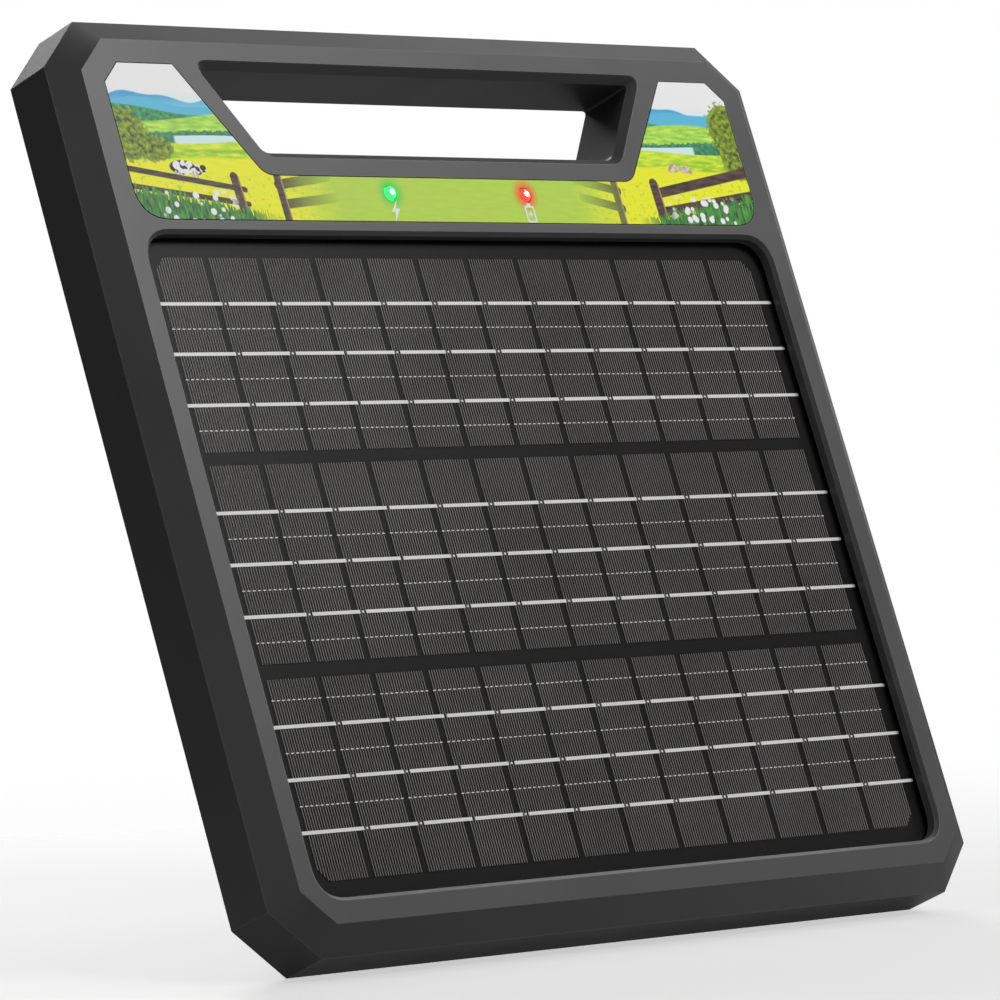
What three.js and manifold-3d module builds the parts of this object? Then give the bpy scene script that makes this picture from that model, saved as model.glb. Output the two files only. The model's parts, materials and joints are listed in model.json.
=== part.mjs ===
// Solar fence energizer: a slab-shaped housing with a solar panel in its face, a carry handle cut through
// its top, and a box on its back for the battery, the pulse circuit and the terminals. It leans back on a
// folding stand. Millimetres, +Z up, the face looks along -Y.
//
// Everything on the slab is drawn in the slab's own frame, where X is right, Z is up along the face and
// Y is the depth behind the face. One group then leans the slab back and puts it on the floor.
import * as THREE from "three";
import { ConvexGeometry } from "three/addons/geometries/ConvexGeometry.js";
import { mergeVertices } from "three/addons/utils/BufferGeometryUtils.js";
import Module from "manifold-3d";

const wasm = await Module();
wasm.setup();

// ---- Driving dimensions ----
const LEAN = THREE.MathUtils.degToRad(22.68);
const GAP = 0.3; // between pieces that rest on each other
const SIDES = 20; // of a small round

const slab = { halfWidth: 160.5, halfHeight: 161.2, depth: 25.5, cut: 17, widestAt: 7 };
const face = { halfWidth: 150.9, halfHeight: 151.7, cut: 11.6, thickness: 4.6 };
const wall = 2.6;
const ledge = { inset: 6.4, depth: 20.9 }; // the rim that the gasket and the rear shell sit on

const handle = {
  top: 145.3,
  bottom: 110.5,
  topHalf: 103.6,
  bottomHalf: 81.6,
  topRadius: 4,
  bottomRadius: 8,
  lip: 2.7,
  sleeve: 2.5,
};
const pane = { halfWidth: 142.7, top: 83, bottom: -143, radius: 11, bevel: 1.3 };
const sheet = { margin: 3.5, front: 4.9, thickness: 0.6 };
const laminate = { margin: 3.2, front: 5.8, thickness: 2.6 };
const label = {
  halfWidth: 142.2,
  top: 143.2,
  bottom: 87.9,
  cut: 7,
  radius: 12,
  armTop: 112,
  armBottom: 84.6,
  stripTop: 103.9,
  armRadius: 8,
  pocket: 0.8,
  thickness: 0.5,
};
const lamp = { x: 31, z: 98.3, radius: 2.5, clear: 0.3 };

const shell = { inset: 3.3, front: 22.3, back: 25.3 };
const box = { halfWidth: 95, top: 25, bottom: -128, back: 62, radius: 10, chamfer: 5, wall: 2.6 };
const rim = [
  [151.5, -90],
  [151.5, 30],
  [128, 128],
  [60, -152],
];
const screw = { shank: 1.5, head: 3, headDepth: 1.8, boss: 4, length: 12 };
const keyhole = { x: 118, z: 60, head: 4.5, slot: 2.6, rise: 11 };

const lampBoard = { halfWidth: 42, front: 6.4, back: 7.8, bottom: 92, top: 104.6 };
const junction = { halfWidth: 14, halfHeight: 8, thickness: 5.7 };

const cell = { radius: 9.2, length: 65.2, x: 34, depth: 46.5, z: -100, pitch: 19.4 };
const door = {
  halfWidth: 72,
  top: -78,
  bottom: -122,
  radius: 5,
  thickness: 2.2,
  lip: 2.4,
  frame: 5,
  tab: 5,
  screw: 7,
};
const board = { halfWidth: 78, top: 12, bottom: -62, front: 29, thickness: 1.6 };
const boardScrewLength = 9;
const transformer = {
  x: -40,
  z: -24,
  raise: 2.4, // room between the board and the core for the winding, which stands proud of it
  depth: 20,
  halfWidth: 22,
  halfHeight: 18,
  windowHalf: 15,
  windowAt: 8.5,
  windowHalfHeight: 4.5,
  windingHalf: 14,
  windingHalfHeight: 12.2,
  proudFront: 1.9,
  proudBack: 3,
};
const storageCan = { x: [10, 36], z: -38, radius: 10, height: 23 };
const sink = { x: 12, z: -8, halfWidth: 12, halfHeight: 6, height: 24, base: 2.5, fins: 5, fin: 2, pitch: 5.5 };
const boardPosts = [
  [70, 4],
  [70, -54],
];

const terminal = { depth: 44, fenceZ: -28, groundZ: -82, stud: 3, collar: 8, collarLength: 6 };
const washer = { radius: 8, thickness: 1.4 };
const knob = { radius: 10, length: 13, ribs: 12, rib: 0.9, bore: 3.35 };

const rocker = { z: -28, depth: 44, halfLength: 10.5, halfWidth: 7, bezel: 2.2, tilt: THREE.MathUtils.degToRad(9) };
const jack = { z: -82, depth: 44, nut: 7.5, barrel: 5.5, bore: 3.4, pin: 1, length: 13, flange: 2.2 };

const stand = {
  pivotDepth: 67.8,
  pivotZ: 10,
  length: 144,
  halfWidth: 37,
  arm: 9,
  thick: 4.5,
  barrel: 5.2,
  pin: 2.5,
};
const ear = { inner: 38, width: 5, radius: 5.5, halfFoot: 9, sides: 16 };

// ---- Materials ----
function finish(color, roughness, metalness = 0) {
  return new THREE.MeshStandardMaterial({ color, roughness, metalness });
}
const charcoal = finish(0x4a4a4a, 0.45);
const black = finish(0x1c1c1c, 0.5);
const rubber = finish(0x141414, 0.9);
const clear = finish(0x9aa4b0, 0.05);
const silicon = finish(0x14161a, 0.3);
const print = finish(0xa6c850, 0.35);
const green = finish(0x2fd04a, 0.2);
const red = finish(0xd02020, 0.4);
const steel = finish(0xb8bcc0, 0.3, 1);
const copper = finish(0xb06a30, 0.4, 1);
const ferrite = finish(0x3c3a38, 0.7);
const circuit = finish(0x1d5a34, 0.5);
const sleeveBlue = finish(0x2858a8, 0.4);
const alloy = finish(0x9c9fa3, 0.4, 1);

// ---- Solids ----
function solid(geometry) {
  const bare = geometry.clone();
  bare.deleteAttribute("normal");
  bare.deleteAttribute("uv");
  const merged = mergeVertices(bare, 1e-4);
  const index = merged.index;
  return new wasm.Manifold(
    new wasm.Mesh({
      numProp: 3,
      vertProperties: new Float32Array(merged.attributes.position.array),
      triVerts: new Uint32Array(index.array),
    }),
  );
}

function geometryOf(made) {
  const { numProp, numVert, vertProperties, triVerts } = made.getMesh();
  const position = new Float32Array(numVert * 3);
  for (let i = 0; i < numVert; i++) {
    position.set(vertProperties.subarray(i * numProp, i * numProp + 3), i * 3);
  }
  const geometry = new THREE.BufferGeometry();
  geometry.setAttribute("position", new THREE.BufferAttribute(position, 3));
  geometry.setIndex(new THREE.BufferAttribute(triVerts, 1));
  geometry.computeVertexNormals();
  return geometry;
}

function join(...solids) {
  return solids.reduce((all, next) => all.add(next));
}

function cut(from, ...tools) {
  return tools.reduce((rest, tool) => rest.subtract(tool), from);
}

function piece(name, shape, material) {
  const geometry = shape.isBufferGeometry ? shape : geometryOf(shape);
  const mesh = new THREE.Mesh(geometry, material);
  mesh.name = name;
  return mesh;
}

// A box between two corners.
function block(x0, x1, y0, y1, z0, z1) {
  const geometry = new THREE.BoxGeometry(x1 - x0, y1 - y0, z1 - z0);
  return solid(geometry.translate((x0 + x1) / 2, (y0 + y1) / 2, (z0 + z1) / 2));
}

// A round bar along X or Y.
function barX(radius, x0, x1, y, z, sides = SIDES) {
  const geometry = new THREE.CylinderGeometry(radius, radius, x1 - x0, sides).rotateZ(-Math.PI / 2);
  return solid(geometry.translate((x0 + x1) / 2, y, z));
}

function barY(radius, x, z, y0, y1, sides = SIDES) {
  const geometry = new THREE.CylinderGeometry(radius, radius, y1 - y0, sides);
  return solid(geometry.translate(x, (y0 + y1) / 2, z));
}

// A turned shape about the X axis: points are [radius, x].
function turnedX(points, x, y, z, sides = SIDES) {
  const profile = points.map(([radius, along]) => new THREE.Vector2(radius, along));
  return solid(new THREE.LatheGeometry(profile, sides).rotateZ(-Math.PI / 2).translate(x, y, z));
}

// ---- Outlines in the face's plane ----
// A closed outline through corners [x, z, radius], each rounded by its own radius.
function rounded(corners) {
  const shape = new THREE.Shape();
  corners.forEach(([x, z, radius = 0], i) => {
    const corner = new THREE.Vector2(x, z);
    const before = new THREE.Vector2(...corners.at(i - 1)).sub(corner).normalize();
    const after = new THREE.Vector2(...corners[(i + 1) % corners.length]).sub(corner).normalize();
    const half = Math.acos(THREE.MathUtils.clamp(before.dot(after), -1, 1)) / 2;
    const reach = radius / Math.tan(half);
    const start = before.multiplyScalar(reach).add(corner);
    const end = after.multiplyScalar(reach).add(corner);
    if (i === 0) shape.moveTo(start.x, start.y);
    else shape.lineTo(start.x, start.y);
    if (radius > 0) shape.quadraticCurveTo(corner.x, corner.y, end.x, end.y);
  });
  shape.closePath();
  return shape;
}

function octagon(halfWidth, halfHeight, corner) {
  const quarter = [
    [halfWidth, halfHeight - corner],
    [halfWidth - corner, halfHeight],
  ];
  const left = quarter.map(([x, z]) => [-x, z]).reverse();
  const top = [...quarter, ...left];
  return rounded([...top, ...top.map(([x, z]) => [-x, -z])]);
}

// The slab's outline, moved in by a distance.
function slabOutline(inset) {
  const corner = slab.cut - inset * (2 - Math.SQRT2);
  return octagon(slab.halfWidth - inset, slab.halfHeight - inset, corner);
}

function rectangle(halfWidth, top, bottom, radius) {
  return rounded([
    [halfWidth, bottom, radius],
    [halfWidth, top, radius],
    [-halfWidth, top, radius],
    [-halfWidth, bottom, radius],
  ]);
}

// The panel's window, grown by a distance.
function paneOutline(grow, radius) {
  return rectangle(pane.halfWidth + grow, pane.top + grow, pane.bottom - grow, radius);
}

// The handle's opening, a trapezoid that is wider at the top, grown by a distance.
function handleOutline(grow) {
  const lean = (handle.topHalf - handle.bottomHalf) / (handle.top - handle.bottom);
  const aside = grow * Math.hypot(1, lean);
  const half = (z) => handle.bottomHalf + (z - handle.bottom) * lean + aside;
  const top = handle.top + grow;
  const bottom = handle.bottom - grow;
  const topRadius = handle.topRadius + grow;
  const bottomRadius = handle.bottomRadius + grow;
  return rounded([
    [half(bottom), bottom, bottomRadius],
    [half(top), top, topRadius],
    [-half(top), top, topRadius],
    [-half(bottom), bottom, bottomRadius],
  ]);
}

// The printed overlay: two arms beside the handle joined by a strip under it, grown by a distance.
function labelOutline(grow) {
  const side = label.halfWidth + grow;
  const top = label.top + grow;
  const right = [
    [label.armBottom - grow, label.stripTop + grow, label.armRadius],
    [label.armTop - grow, top],
    [side - label.cut, top],
    [side, top - label.cut],
    [side, label.bottom - grow, label.radius],
  ];
  const left = right.map(([x, z, radius]) => [-x, z, radius]).reverse();
  return rounded([...right, ...left].reverse());
}

// A plate of one outline between two depths.
function plate(outline, y0, y1, curveSegments = 5) {
  const geometry = new THREE.ExtrudeGeometry(outline, { depth: y1 - y0, bevelEnabled: false, curveSegments });
  return solid(geometry.rotateX(Math.PI / 2).translate(0, y1, 0));
}

// The straight-sided body through several convex outlines, each at its own depth.
function loft(layers, segments = 5) {
  const points = layers.flatMap(([outline, y]) =>
    outline.getPoints(segments).map((p) => new THREE.Vector3(p.x, y, p.y)),
  );
  return solid(new ConvexGeometry(points));
}

const mirrored = (places) => places.flatMap(([x, z]) => [[x, z], [-x, z]]);
const rimScrews = mirrored(rim);
const boardScrews = mirrored(boardPosts);
const doorScrews = mirrored([[door.halfWidth - door.tab, (door.top + door.bottom) / 2]]);

// ---- Front frame ----
function frontFrame() {
  const outer = loft([
    [octagon(face.halfWidth, face.halfHeight, face.cut), 0],
    [slabOutline(0.5), slab.widestAt],
    [slabOutline(0), slab.depth],
  ]);
  const front = face.thickness;
  const inside = loft([
    [slabOutline(ledge.inset), front],
    [slabOutline(ledge.inset), ledge.depth + 1],
  ]);
  const seat = plate(slabOutline(wall + GAP), ledge.depth, slab.depth + 1);
  const sleeve = plate(handleOutline(handle.sleeve - handle.lip), front - 1, slab.depth);
  const bosses = rimScrews.map(([x, z]) => barY(screw.boss, x, z, front - 1, ledge.depth));
  const hollow = join(inside, seat).subtract(sleeve);
  const body = join(outer.subtract(hollow), ...bosses);
  // Each opening is a straight hole joined with a flare that starts in front of the face.
  const handleHole = join(
    plate(handleOutline(-handle.lip), -1, slab.depth + 1),
    loft([
      [handleOutline(1), -1],
      [handleOutline(-handle.lip - 0.5), handle.lip + 0.5],
    ]),
  );
  const opening = join(
    plate(paneOutline(0, pane.radius), -1, front + 1),
    loft([
      [paneOutline(pane.bevel + 1, pane.radius + 2), -1],
      [paneOutline(-0.5, pane.radius), pane.bevel + 0.5],
    ]),
  );
  const pocket = plate(labelOutline(GAP), -1, label.pocket);
  const lamps = [-lamp.x, lamp.x].map((x) => barY(lamp.radius + lamp.clear, x, lamp.z, -1, front + 1));
  const pilots = rimScrews.map(([x, z]) =>
    barY(screw.shank + GAP, x, z, shell.back - screw.length - 1, ledge.depth + 1, 10),
  );
  return cut(body, handleHole, opening, pocket, ...lamps, ...pilots);
}

function labelOverlay() {
  const holes = [-lamp.x, lamp.x].map((x) => barY(lamp.radius + lamp.clear, x, lamp.z, -1, 2));
  return cut(plate(labelOutline(0), 0, label.thickness), ...holes);
}

// A lamp's clear lens: a dome that shows through the overlay, with a flange behind the face.
function lens(x) {
  const inner = face.thickness + GAP;
  const dome = 0.9;
  const profile = [
    [0, -dome],
    [lamp.radius * 0.55, -dome * 0.8],
    [lamp.radius * 0.88, -dome * 0.4],
    [lamp.radius, 0],
    [lamp.radius, inner],
    [lamp.radius + 1.2, inner],
    [lamp.radius + 1.2, inner + 1],
    [0, inner + 1],
  ].map(([radius, y]) => new THREE.Vector2(radius, y));
  return solid(new THREE.LatheGeometry(profile, SIDES).translate(x, 0, lamp.z));
}

function perimeterGasket() {
  const outer = plate(slabOutline(wall + 2 * GAP), ledge.depth + GAP, shell.front - GAP);
  return outer.subtract(plate(slabOutline(ledge.inset - GAP), ledge.depth, shell.front));
}

const paneBack = laminate.front + laminate.thickness;

// The pad on the laminate's back that the two panel wires leave from.
function junctionPad() {
  const { halfWidth, halfHeight, thickness } = junction;
  const front = paneBack + GAP;
  return block(-halfWidth, halfWidth, front, front + thickness, -halfHeight, halfHeight);
}

// ---- Rear shell, with the box on its back ----
function boxOutline(inset) {
  return rectangle(box.halfWidth - inset, box.top - inset, box.bottom + inset, box.radius - inset);
}

function doorOutline(grow) {
  return rectangle(door.halfWidth + grow, door.top + grow, door.bottom - grow, door.radius + grow);
}

// An opening that drops over a screw head and then slides down onto its shank.
function keyholeCut(x) {
  const head = barY(keyhole.head, x, keyhole.z, shell.front - 1, shell.back + 1);
  const top = keyhole.z + keyhole.rise;
  const slot = block(x - keyhole.slot, x + keyhole.slot, shell.front - 1, shell.back + 1, keyhole.z, top);
  const end = barY(keyhole.slot, x, top, shell.front - 1, shell.back + 1);
  return join(head, slot, end);
}

// One of the two ears that hold the stand's hinge pin.
function standEar(x0) {
  const x1 = x0 + ear.width;
  const low = stand.pivotZ - ear.halfFoot;
  const high = stand.pivotZ + ear.halfFoot;
  const foot = block(x0, x1, box.back - 1, box.back, low, high);
  const points = [];
  for (const x of [x0, x1]) {
    for (const z of [low, high]) points.push(new THREE.Vector3(x, box.back - 0.5, z));
    for (let i = 0; i < ear.sides; i++) {
      const turn = (i / ear.sides) * 2 * Math.PI;
      const y = stand.pivotDepth + ear.radius * Math.cos(turn);
      points.push(new THREE.Vector3(x, y, stand.pivotZ + ear.radius * Math.sin(turn)));
    }
  }
  return join(foot, solid(new ConvexGeometry(points)));
}

function rearShell() {
  const back = plate(slabOutline(shell.inset + GAP), shell.front, shell.back);
  const backAt = box.back - box.chamfer;
  const outer = loft([
    [boxOutline(0), shell.front],
    [boxOutline(0), backAt],
    [boxOutline(box.chamfer * 0.7), box.back],
  ]);
  const inner = loft([
    [boxOutline(box.wall), shell.front - 1],
    [boxOutline(box.wall), backAt - 1],
    [boxOutline(box.wall + 2), box.back - box.wall],
  ]);
  const posts = boardScrews.map(([x, z]) =>
    barY(screw.boss, x, z, board.front + board.thickness + GAP, box.back - 1, 12),
  );
  const ears = [ear.inner, -ear.inner - ear.width].map(standEar);
  const doorFrame = plate(doorOutline(2), box.back - door.frame, box.back - 1);
  const shellBody = join(join(back, outer).subtract(inner), doorFrame, ...posts, ...ears);
  const handleClear = plate(handleOutline(handle.sleeve - handle.lip + GAP), shell.front - 1, shell.back + 1);
  const keyholes = [keyhole.x, -keyhole.x].map(keyholeCut);
  const rimHoles = rimScrews.map(([x, z]) =>
    join(
      barY(screw.shank + GAP, x, z, shell.front - 1, shell.back + 1, 10),
      barY(screw.head + GAP, x, z, shell.back - screw.headDepth - GAP, shell.back + 1, 14),
    ),
  );
  const doorSeat = plate(doorOutline(GAP), box.back - door.thickness - GAP, box.back + 1);
  const tab = door.tab;
  const tabs = doorScrews.map(([x, z]) =>
    block(x - tab, x + tab, box.back - 8, box.back + 1, z - tab, z + tab),
  );
  const doorHole = cut(plate(doorOutline(-door.lip), box.back - 8, box.back + 1), ...tabs);
  const postHoles = boardScrews.map(([x, z]) =>
    barY(screw.shank + GAP, x, z, board.front, board.front + 14, 10),
  );
  const side = box.halfWidth;
  const studHoles = [terminal.fenceZ, terminal.groundZ].map((z) =>
    barX(terminal.stud + 1.3, side - 5, side + 1, terminal.depth, z),
  );
  const rockerHole = block(
    -side - 1,
    -side + 5,
    rocker.depth - rocker.halfWidth,
    rocker.depth + rocker.halfWidth,
    rocker.z - rocker.halfLength,
    rocker.z + rocker.halfLength,
  );
  const jackHole = barX(jack.barrel + GAP, -side - 1, -side + 5, jack.depth, jack.z);
  const pinHole = barX(stand.pin + GAP, -ear.inner - 9, ear.inner + 9, stand.pivotDepth, stand.pivotZ);
  const tabHoles = doorScrews.map(([x, z]) => barY(screw.shank + GAP, x, z, box.back - 8, box.back, 10));
  return cut(
    shellBody,
    handleClear,
    ...keyholes,
    ...rimHoles,
    doorSeat,
    doorHole,
    ...postHoles,
    ...studHoles,
    rockerHole,
    jackHole,
    pinHole,
    ...tabHoles,
  );
}

// ---- Fasteners ----
// A pan-head screw that points into the slab, its head's outer face at the given depth.
function panScrew(name, x, z, outerFace, length) {
  const { head, headDepth, shank } = screw;
  const profile = [
    [0, -length],
    [0.4, -length],
    [shank, 1 - length],
    [shank, -headDepth],
    [head, -headDepth],
    [head, -0.6],
    [head * 0.75, 0],
    [0, 0],
  ].map(([radius, along]) => new THREE.Vector2(radius, along));
  const turned = solid(new THREE.LatheGeometry(profile, 12));
  const arm = head * 0.6;
  const slot = 0.35;
  const recess = join(block(-arm, arm, -0.9, 1, -slot, slot), block(-slot, slot, -0.9, 1, -arm, arm));
  const mesh = piece(name, cut(turned, recess), steel);
  mesh.position.set(x, outerFace, z);
  return mesh;
}

// ---- Battery ----
function batteryCell(column, row) {
  const x = column * cell.x;
  const z = cell.z + (row - 0.5) * cell.pitch;
  const half = cell.length / 2;
  const cap = 2.9;
  const points = [
    [0, -half],
    [cell.radius - 0.5, -half],
    [cell.radius, -half + 0.5],
    [cell.radius, half - 1.6],
    [cell.radius - 0.6, half - 1],
    [cap, half - 1],
    [cap, half],
    [0, half],
  ];
  return turnedX(points, x, cell.depth, z, 18);
}

// A tray with a floor under the four cells, walls round them and a rib between the two columns.
function batteryTray() {
  const halfX = 2 * cell.x + 3;
  const top = cell.z + cell.pitch + 1.5;
  const bottom = cell.z - cell.pitch - 1.5;
  const floor = cell.depth - cell.radius - 2.4;
  const rimAt = cell.depth + 4;
  const outer = block(-halfX, halfX, floor, rimAt, bottom, top);
  const half = cell.length / 2 + 0.5;
  const room = cell.pitch + 0.2;
  const pockets = [-cell.x, cell.x].map((x) =>
    block(x - half, x + half, floor + 2, rimAt + 1, cell.z - room, cell.z + room),
  );
  return cut(outer, ...pockets);
}

function batteryDoor() {
  const holes = doorScrews.map(([x, z]) => barY(screw.shank + GAP, x, z, box.back - 8, box.back + 1, 10));
  const sinkAt = box.back - screw.headDepth - GAP;
  const sinks = doorScrews.map(([x, z]) => barY(screw.head + GAP, x, z, sinkAt, box.back + 1, 14));
  const grip = block(-12, 12, box.back - 0.8, box.back + 1, door.top - 8, door.top - 5);
  return cut(plate(doorOutline(0), box.back - door.thickness, box.back), ...holes, ...sinks, grip);
}

// ---- Circuit ----
function controlBoard() {
  const { front, thickness, halfWidth, top, bottom } = board;
  const sheetOut = plate(rectangle(halfWidth, top, bottom, 3), front, front + thickness);
  const holes = boardScrews.map(([x, z]) =>
    barY(screw.shank + GAP, x, z, front - 1, front + thickness + 1, 10),
  );
  return cut(sheetOut, ...holes);
}

// The ferrite core, a frame with a middle leg through the winding.
const coreFront = board.front + board.thickness + GAP + transformer.raise;

function transformerCore() {
  const { x, z, depth, halfWidth, halfHeight, windowHalf, windowAt, windowHalfHeight } = transformer;
  const back = coreFront + depth;
  const outer = block(x - halfWidth, x + halfWidth, coreFront, back, z - halfHeight, z + halfHeight);
  const windows = [-windowAt, windowAt].map((middle) =>
    block(
      x - windowHalf,
      x + windowHalf,
      coreFront - 1,
      back + 1,
      z + middle - windowHalfHeight,
      z + middle + windowHalfHeight,
    ),
  );
  return cut(outer, ...windows);
}

// The winding fills the core's windows round the middle leg, and stands proud of the core at both faces.
function transformerWinding() {
  const { x, z, depth, windowHalf, windowAt, windowHalfHeight, windingHalf, windingHalfHeight } = transformer;
  const legHalf = windowAt - windowHalfHeight + GAP;
  const back = coreFront + depth;
  const outer = block(
    x - windingHalf,
    x + windingHalf,
    coreFront - transformer.proudFront,
    back + transformer.proudBack,
    z - windingHalfHeight,
    z + windingHalfHeight,
  );
  const leg = block(x - windowHalf, x + windowHalf, coreFront - GAP, back + GAP, z - legHalf, z + legHalf);
  return cut(outer, leg);
}

function standingCan(x, z, radius, height) {
  const y = board.front + board.thickness + GAP;
  const top = y + height;
  return join(barY(radius, x, z, y, top, 18), barY(radius * 0.7, x, z, top - 0.5, top + 0.6, 18));
}

// A comb of fins on a base, for the switching transistor.
function heatSink() {
  const { x, z, halfWidth, halfHeight, height, base, fins, fin, pitch } = sink;
  const y = board.front + board.thickness + GAP;
  const left = x - halfWidth;
  const top = z + halfHeight;
  const comb = Array.from({ length: fins }, (_, i) =>
    block(left + i * pitch, left + i * pitch + fin, y, y + height, z - halfHeight, top),
  );
  return join(block(left, x + halfWidth, y, y + height, top - base, top), ...comb);
}

// A wire of round section through a few points.
function wire(points, radius) {
  const path = new THREE.CatmullRomCurve3(points.map((p) => new THREE.Vector3(...p)));
  const section = new THREE.Shape().absarc(0, 0, radius, 0, 2 * Math.PI);
  const settings = { steps: 16, curveSegments: 3, bevelEnabled: false, extrudePath: path };
  return solid(new THREE.ExtrudeGeometry(section, settings));
}

// ---- Terminals ----
function collar(z) {
  const x = box.halfWidth + GAP;
  const profile = [
    [terminal.stud + GAP, 0],
    [terminal.collar + 2, 0],
    [terminal.collar + 2, 1.6],
    [terminal.collar, 3.2],
    [terminal.collar, terminal.collarLength],
    [terminal.stud + GAP, terminal.collarLength],
    [terminal.stud + GAP, 0],
  ];
  return turnedX(profile, x, terminal.depth, z);
}

// A headed stud: its head is inside the box and its threaded end carries the knob.
function stud(z) {
  const inside = box.halfWidth - box.wall - GAP;
  return turnedX(
    [
      [0, 0],
      [6, 0],
      [6, 3],
      [terminal.stud, 3],
      [terminal.stud, 34],
      [terminal.stud - 0.8, 35],
      [0, 35],
    ],
    inside - 3,
    terminal.depth,
    z,
  );
}

const washerAt = box.halfWidth + GAP + terminal.collarLength + GAP;

function terminalWasher(z) {
  const { radius, thickness } = washer;
  const bore = terminal.stud + GAP;
  return turnedX(
    [[bore, 0], [radius, 0], [radius, thickness], [bore, thickness], [bore, 0]],
    washerAt,
    terminal.depth,
    z,
  );
}

// A thumb nut with ribs round it.
function terminalKnob(z) {
  const x = washerAt + washer.thickness + GAP;
  const profile = [
    [knob.bore, 0],
    [knob.radius - 2, 0],
    [knob.radius - 1, 1.5],
    [knob.radius - 1, knob.length - 2],
    [knob.radius - 3, knob.length],
    [knob.bore, knob.length],
    [knob.bore, 0],
  ];
  let made = turnedX(profile, x, terminal.depth, z, 24);
  for (let i = 0; i < knob.ribs; i++) {
    const turn = (i / knob.ribs) * 2 * Math.PI;
    const y = terminal.depth + (knob.radius - 1.1) * Math.cos(turn);
    const ribZ = z + (knob.radius - 1.1) * Math.sin(turn);
    made = made.add(barX(knob.rib, x + 1.5, x + knob.length - 2.2, y, ribZ, 8));
  }
  return made;
}

// ---- Power switch ----
function switchBody() {
  const { z, depth, halfLength, halfWidth, bezel } = rocker;
  const side = -box.halfWidth;
  const flange = block(
    side - bezel,
    side - GAP,
    depth - halfWidth - 2,
    depth + halfWidth + 2,
    z - halfLength - 2,
    z + halfLength + 2,
  );
  const neck = block(
    side - 1,
    side + 16,
    depth - halfWidth + GAP,
    depth + halfWidth - GAP,
    z - halfLength + GAP,
    z + halfLength - GAP,
  );
  const room = block(
    side - bezel - 1,
    side + 7,
    depth - halfWidth + 1.6,
    depth + halfWidth - 1.6,
    z - halfLength + 1.6,
    z + halfLength - 1.6,
  );
  return cut(join(flange, neck), room);
}

// The rocker's cap, drawn about its pivot: a flat V whose lower half is pressed in.
function rockerCap() {
  const halfZ = rocker.halfLength - 2.6;
  const shape = new THREE.Shape();
  shape.moveTo(-5.2, 0);
  shape.lineTo(-4.6, halfZ);
  shape.lineTo(1.2, halfZ);
  shape.lineTo(4, 0);
  shape.lineTo(1.2, -halfZ);
  shape.lineTo(-4.6, -halfZ);
  shape.closePath();
  const width = 2 * (rocker.halfWidth - 2);
  const geometry = new THREE.ExtrudeGeometry(shape, { depth: width, bevelEnabled: false });
  // The outline is drawn in X and Z, so it turns to run along Y.
  return geometry.translate(0, 0, -width / 2).rotateX(Math.PI / 2);
}

// ---- Charging jack ----
function chargingJack() {
  const side = -box.halfWidth;
  const flange = barX(jack.nut, side - jack.flange, side - GAP, jack.depth, jack.z, 24);
  const barrel = barX(jack.barrel, side - 1, side + jack.length, jack.depth, jack.z, 24);
  const bore = barX(jack.bore, side - jack.flange - 1, side + 9, jack.depth, jack.z);
  const pin = barX(jack.pin, side + 1.5, side + 10, jack.depth, jack.z, 10);
  return join(cut(join(flange, barrel), bore), pin);
}

const capHinge = { x: -box.halfWidth - jack.flange - GAP - 0.9, z: jack.z + jack.nut + 4.4 };

// A rubber cap with a plug ring, a lift tab below and an eye at its top that turns on the strap.
function jackCap() {
  const outer = -box.halfWidth - jack.flange - GAP;
  const lid = barX(jack.nut, outer - 1.8, outer, jack.depth, jack.z, 24);
  const ring = barX(jack.bore - 0.7, outer - 0.5, outer + 3, jack.depth, jack.z, 16);
  const hollow = barX(jack.pin + 0.6, outer - 0.4, outer + 4, jack.depth, jack.z, 12);
  const tab = block(outer - 1.8, outer, jack.depth - 3, jack.depth + 3, jack.z - jack.nut - 3.5, jack.z - 4);
  const neck = block(outer - 1.8, outer, jack.depth - 2.5, jack.depth + 2.5, jack.z + 4, capHinge.z);
  const eye = solid(new THREE.CylinderGeometry(1.5, 1.5, 5, 12).translate(capHinge.x, jack.depth, capHinge.z));
  return cut(join(lid, ring, tab, neck, eye), hollow);
}

// The strap that stays on the box and holds the cap's eye between two cheeks.
function capStrap() {
  const side = -box.halfWidth;
  const base = block(side - 1.6, side - GAP, jack.depth - 5, jack.depth + 5, capHinge.z - 1.8, capHinge.z + 6);
  const cheeks = [-1, 1].map((way) => {
    const near = jack.depth + way * 2.9;
    const far = jack.depth + way * 5;
    const [low, high] = [Math.min(near, far), Math.max(near, far)];
    return block(capHinge.x - 1.4, side - 1, low, high, capHinge.z - 1.8, capHinge.z + 2);
  });
  return join(base, ...cheeks);
}

// ---- Stand ----
const floorZ = -slab.halfHeight * Math.cos(LEAN) - slab.depth * Math.sin(LEAN);
const pivotHeight = -stand.pivotDepth * Math.sin(LEAN) + stand.pivotZ * Math.cos(LEAN) - floorZ;
const legFromVertical = Math.acos(pivotHeight / stand.length);
const legOpening = legFromVertical + LEAN;

// The leg is a frame of two arms and two bars, drawn hanging straight down from its pivot.
function standLeg() {
  const { halfWidth, arm, thick, barrel, length } = stand;
  const foot = -length + 4;
  const arms = [halfWidth - arm, -halfWidth].map((x0) =>
    join(
      barX(barrel, x0, x0 + arm, 0, 0),
      block(x0, x0 + arm, -thick / 2, thick / 2, foot, 0),
      block(x0, x0 + arm, -thick / 2 + 0.5, thick / 2 - 0.5, 0, 6.4),
    ),
  );
  const footBar = block(-halfWidth, halfWidth, -thick / 2, thick / 2, foot, foot + arm);
  const middleBar = block(-halfWidth, halfWidth, -thick / 2, thick / 2, -58, -50);
  const pinHole = barX(stand.pin + GAP, -halfWidth - 1, halfWidth + 1, 0, 0);
  return cut(join(...arms, footBar, middleBar), pinHole);
}

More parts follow.
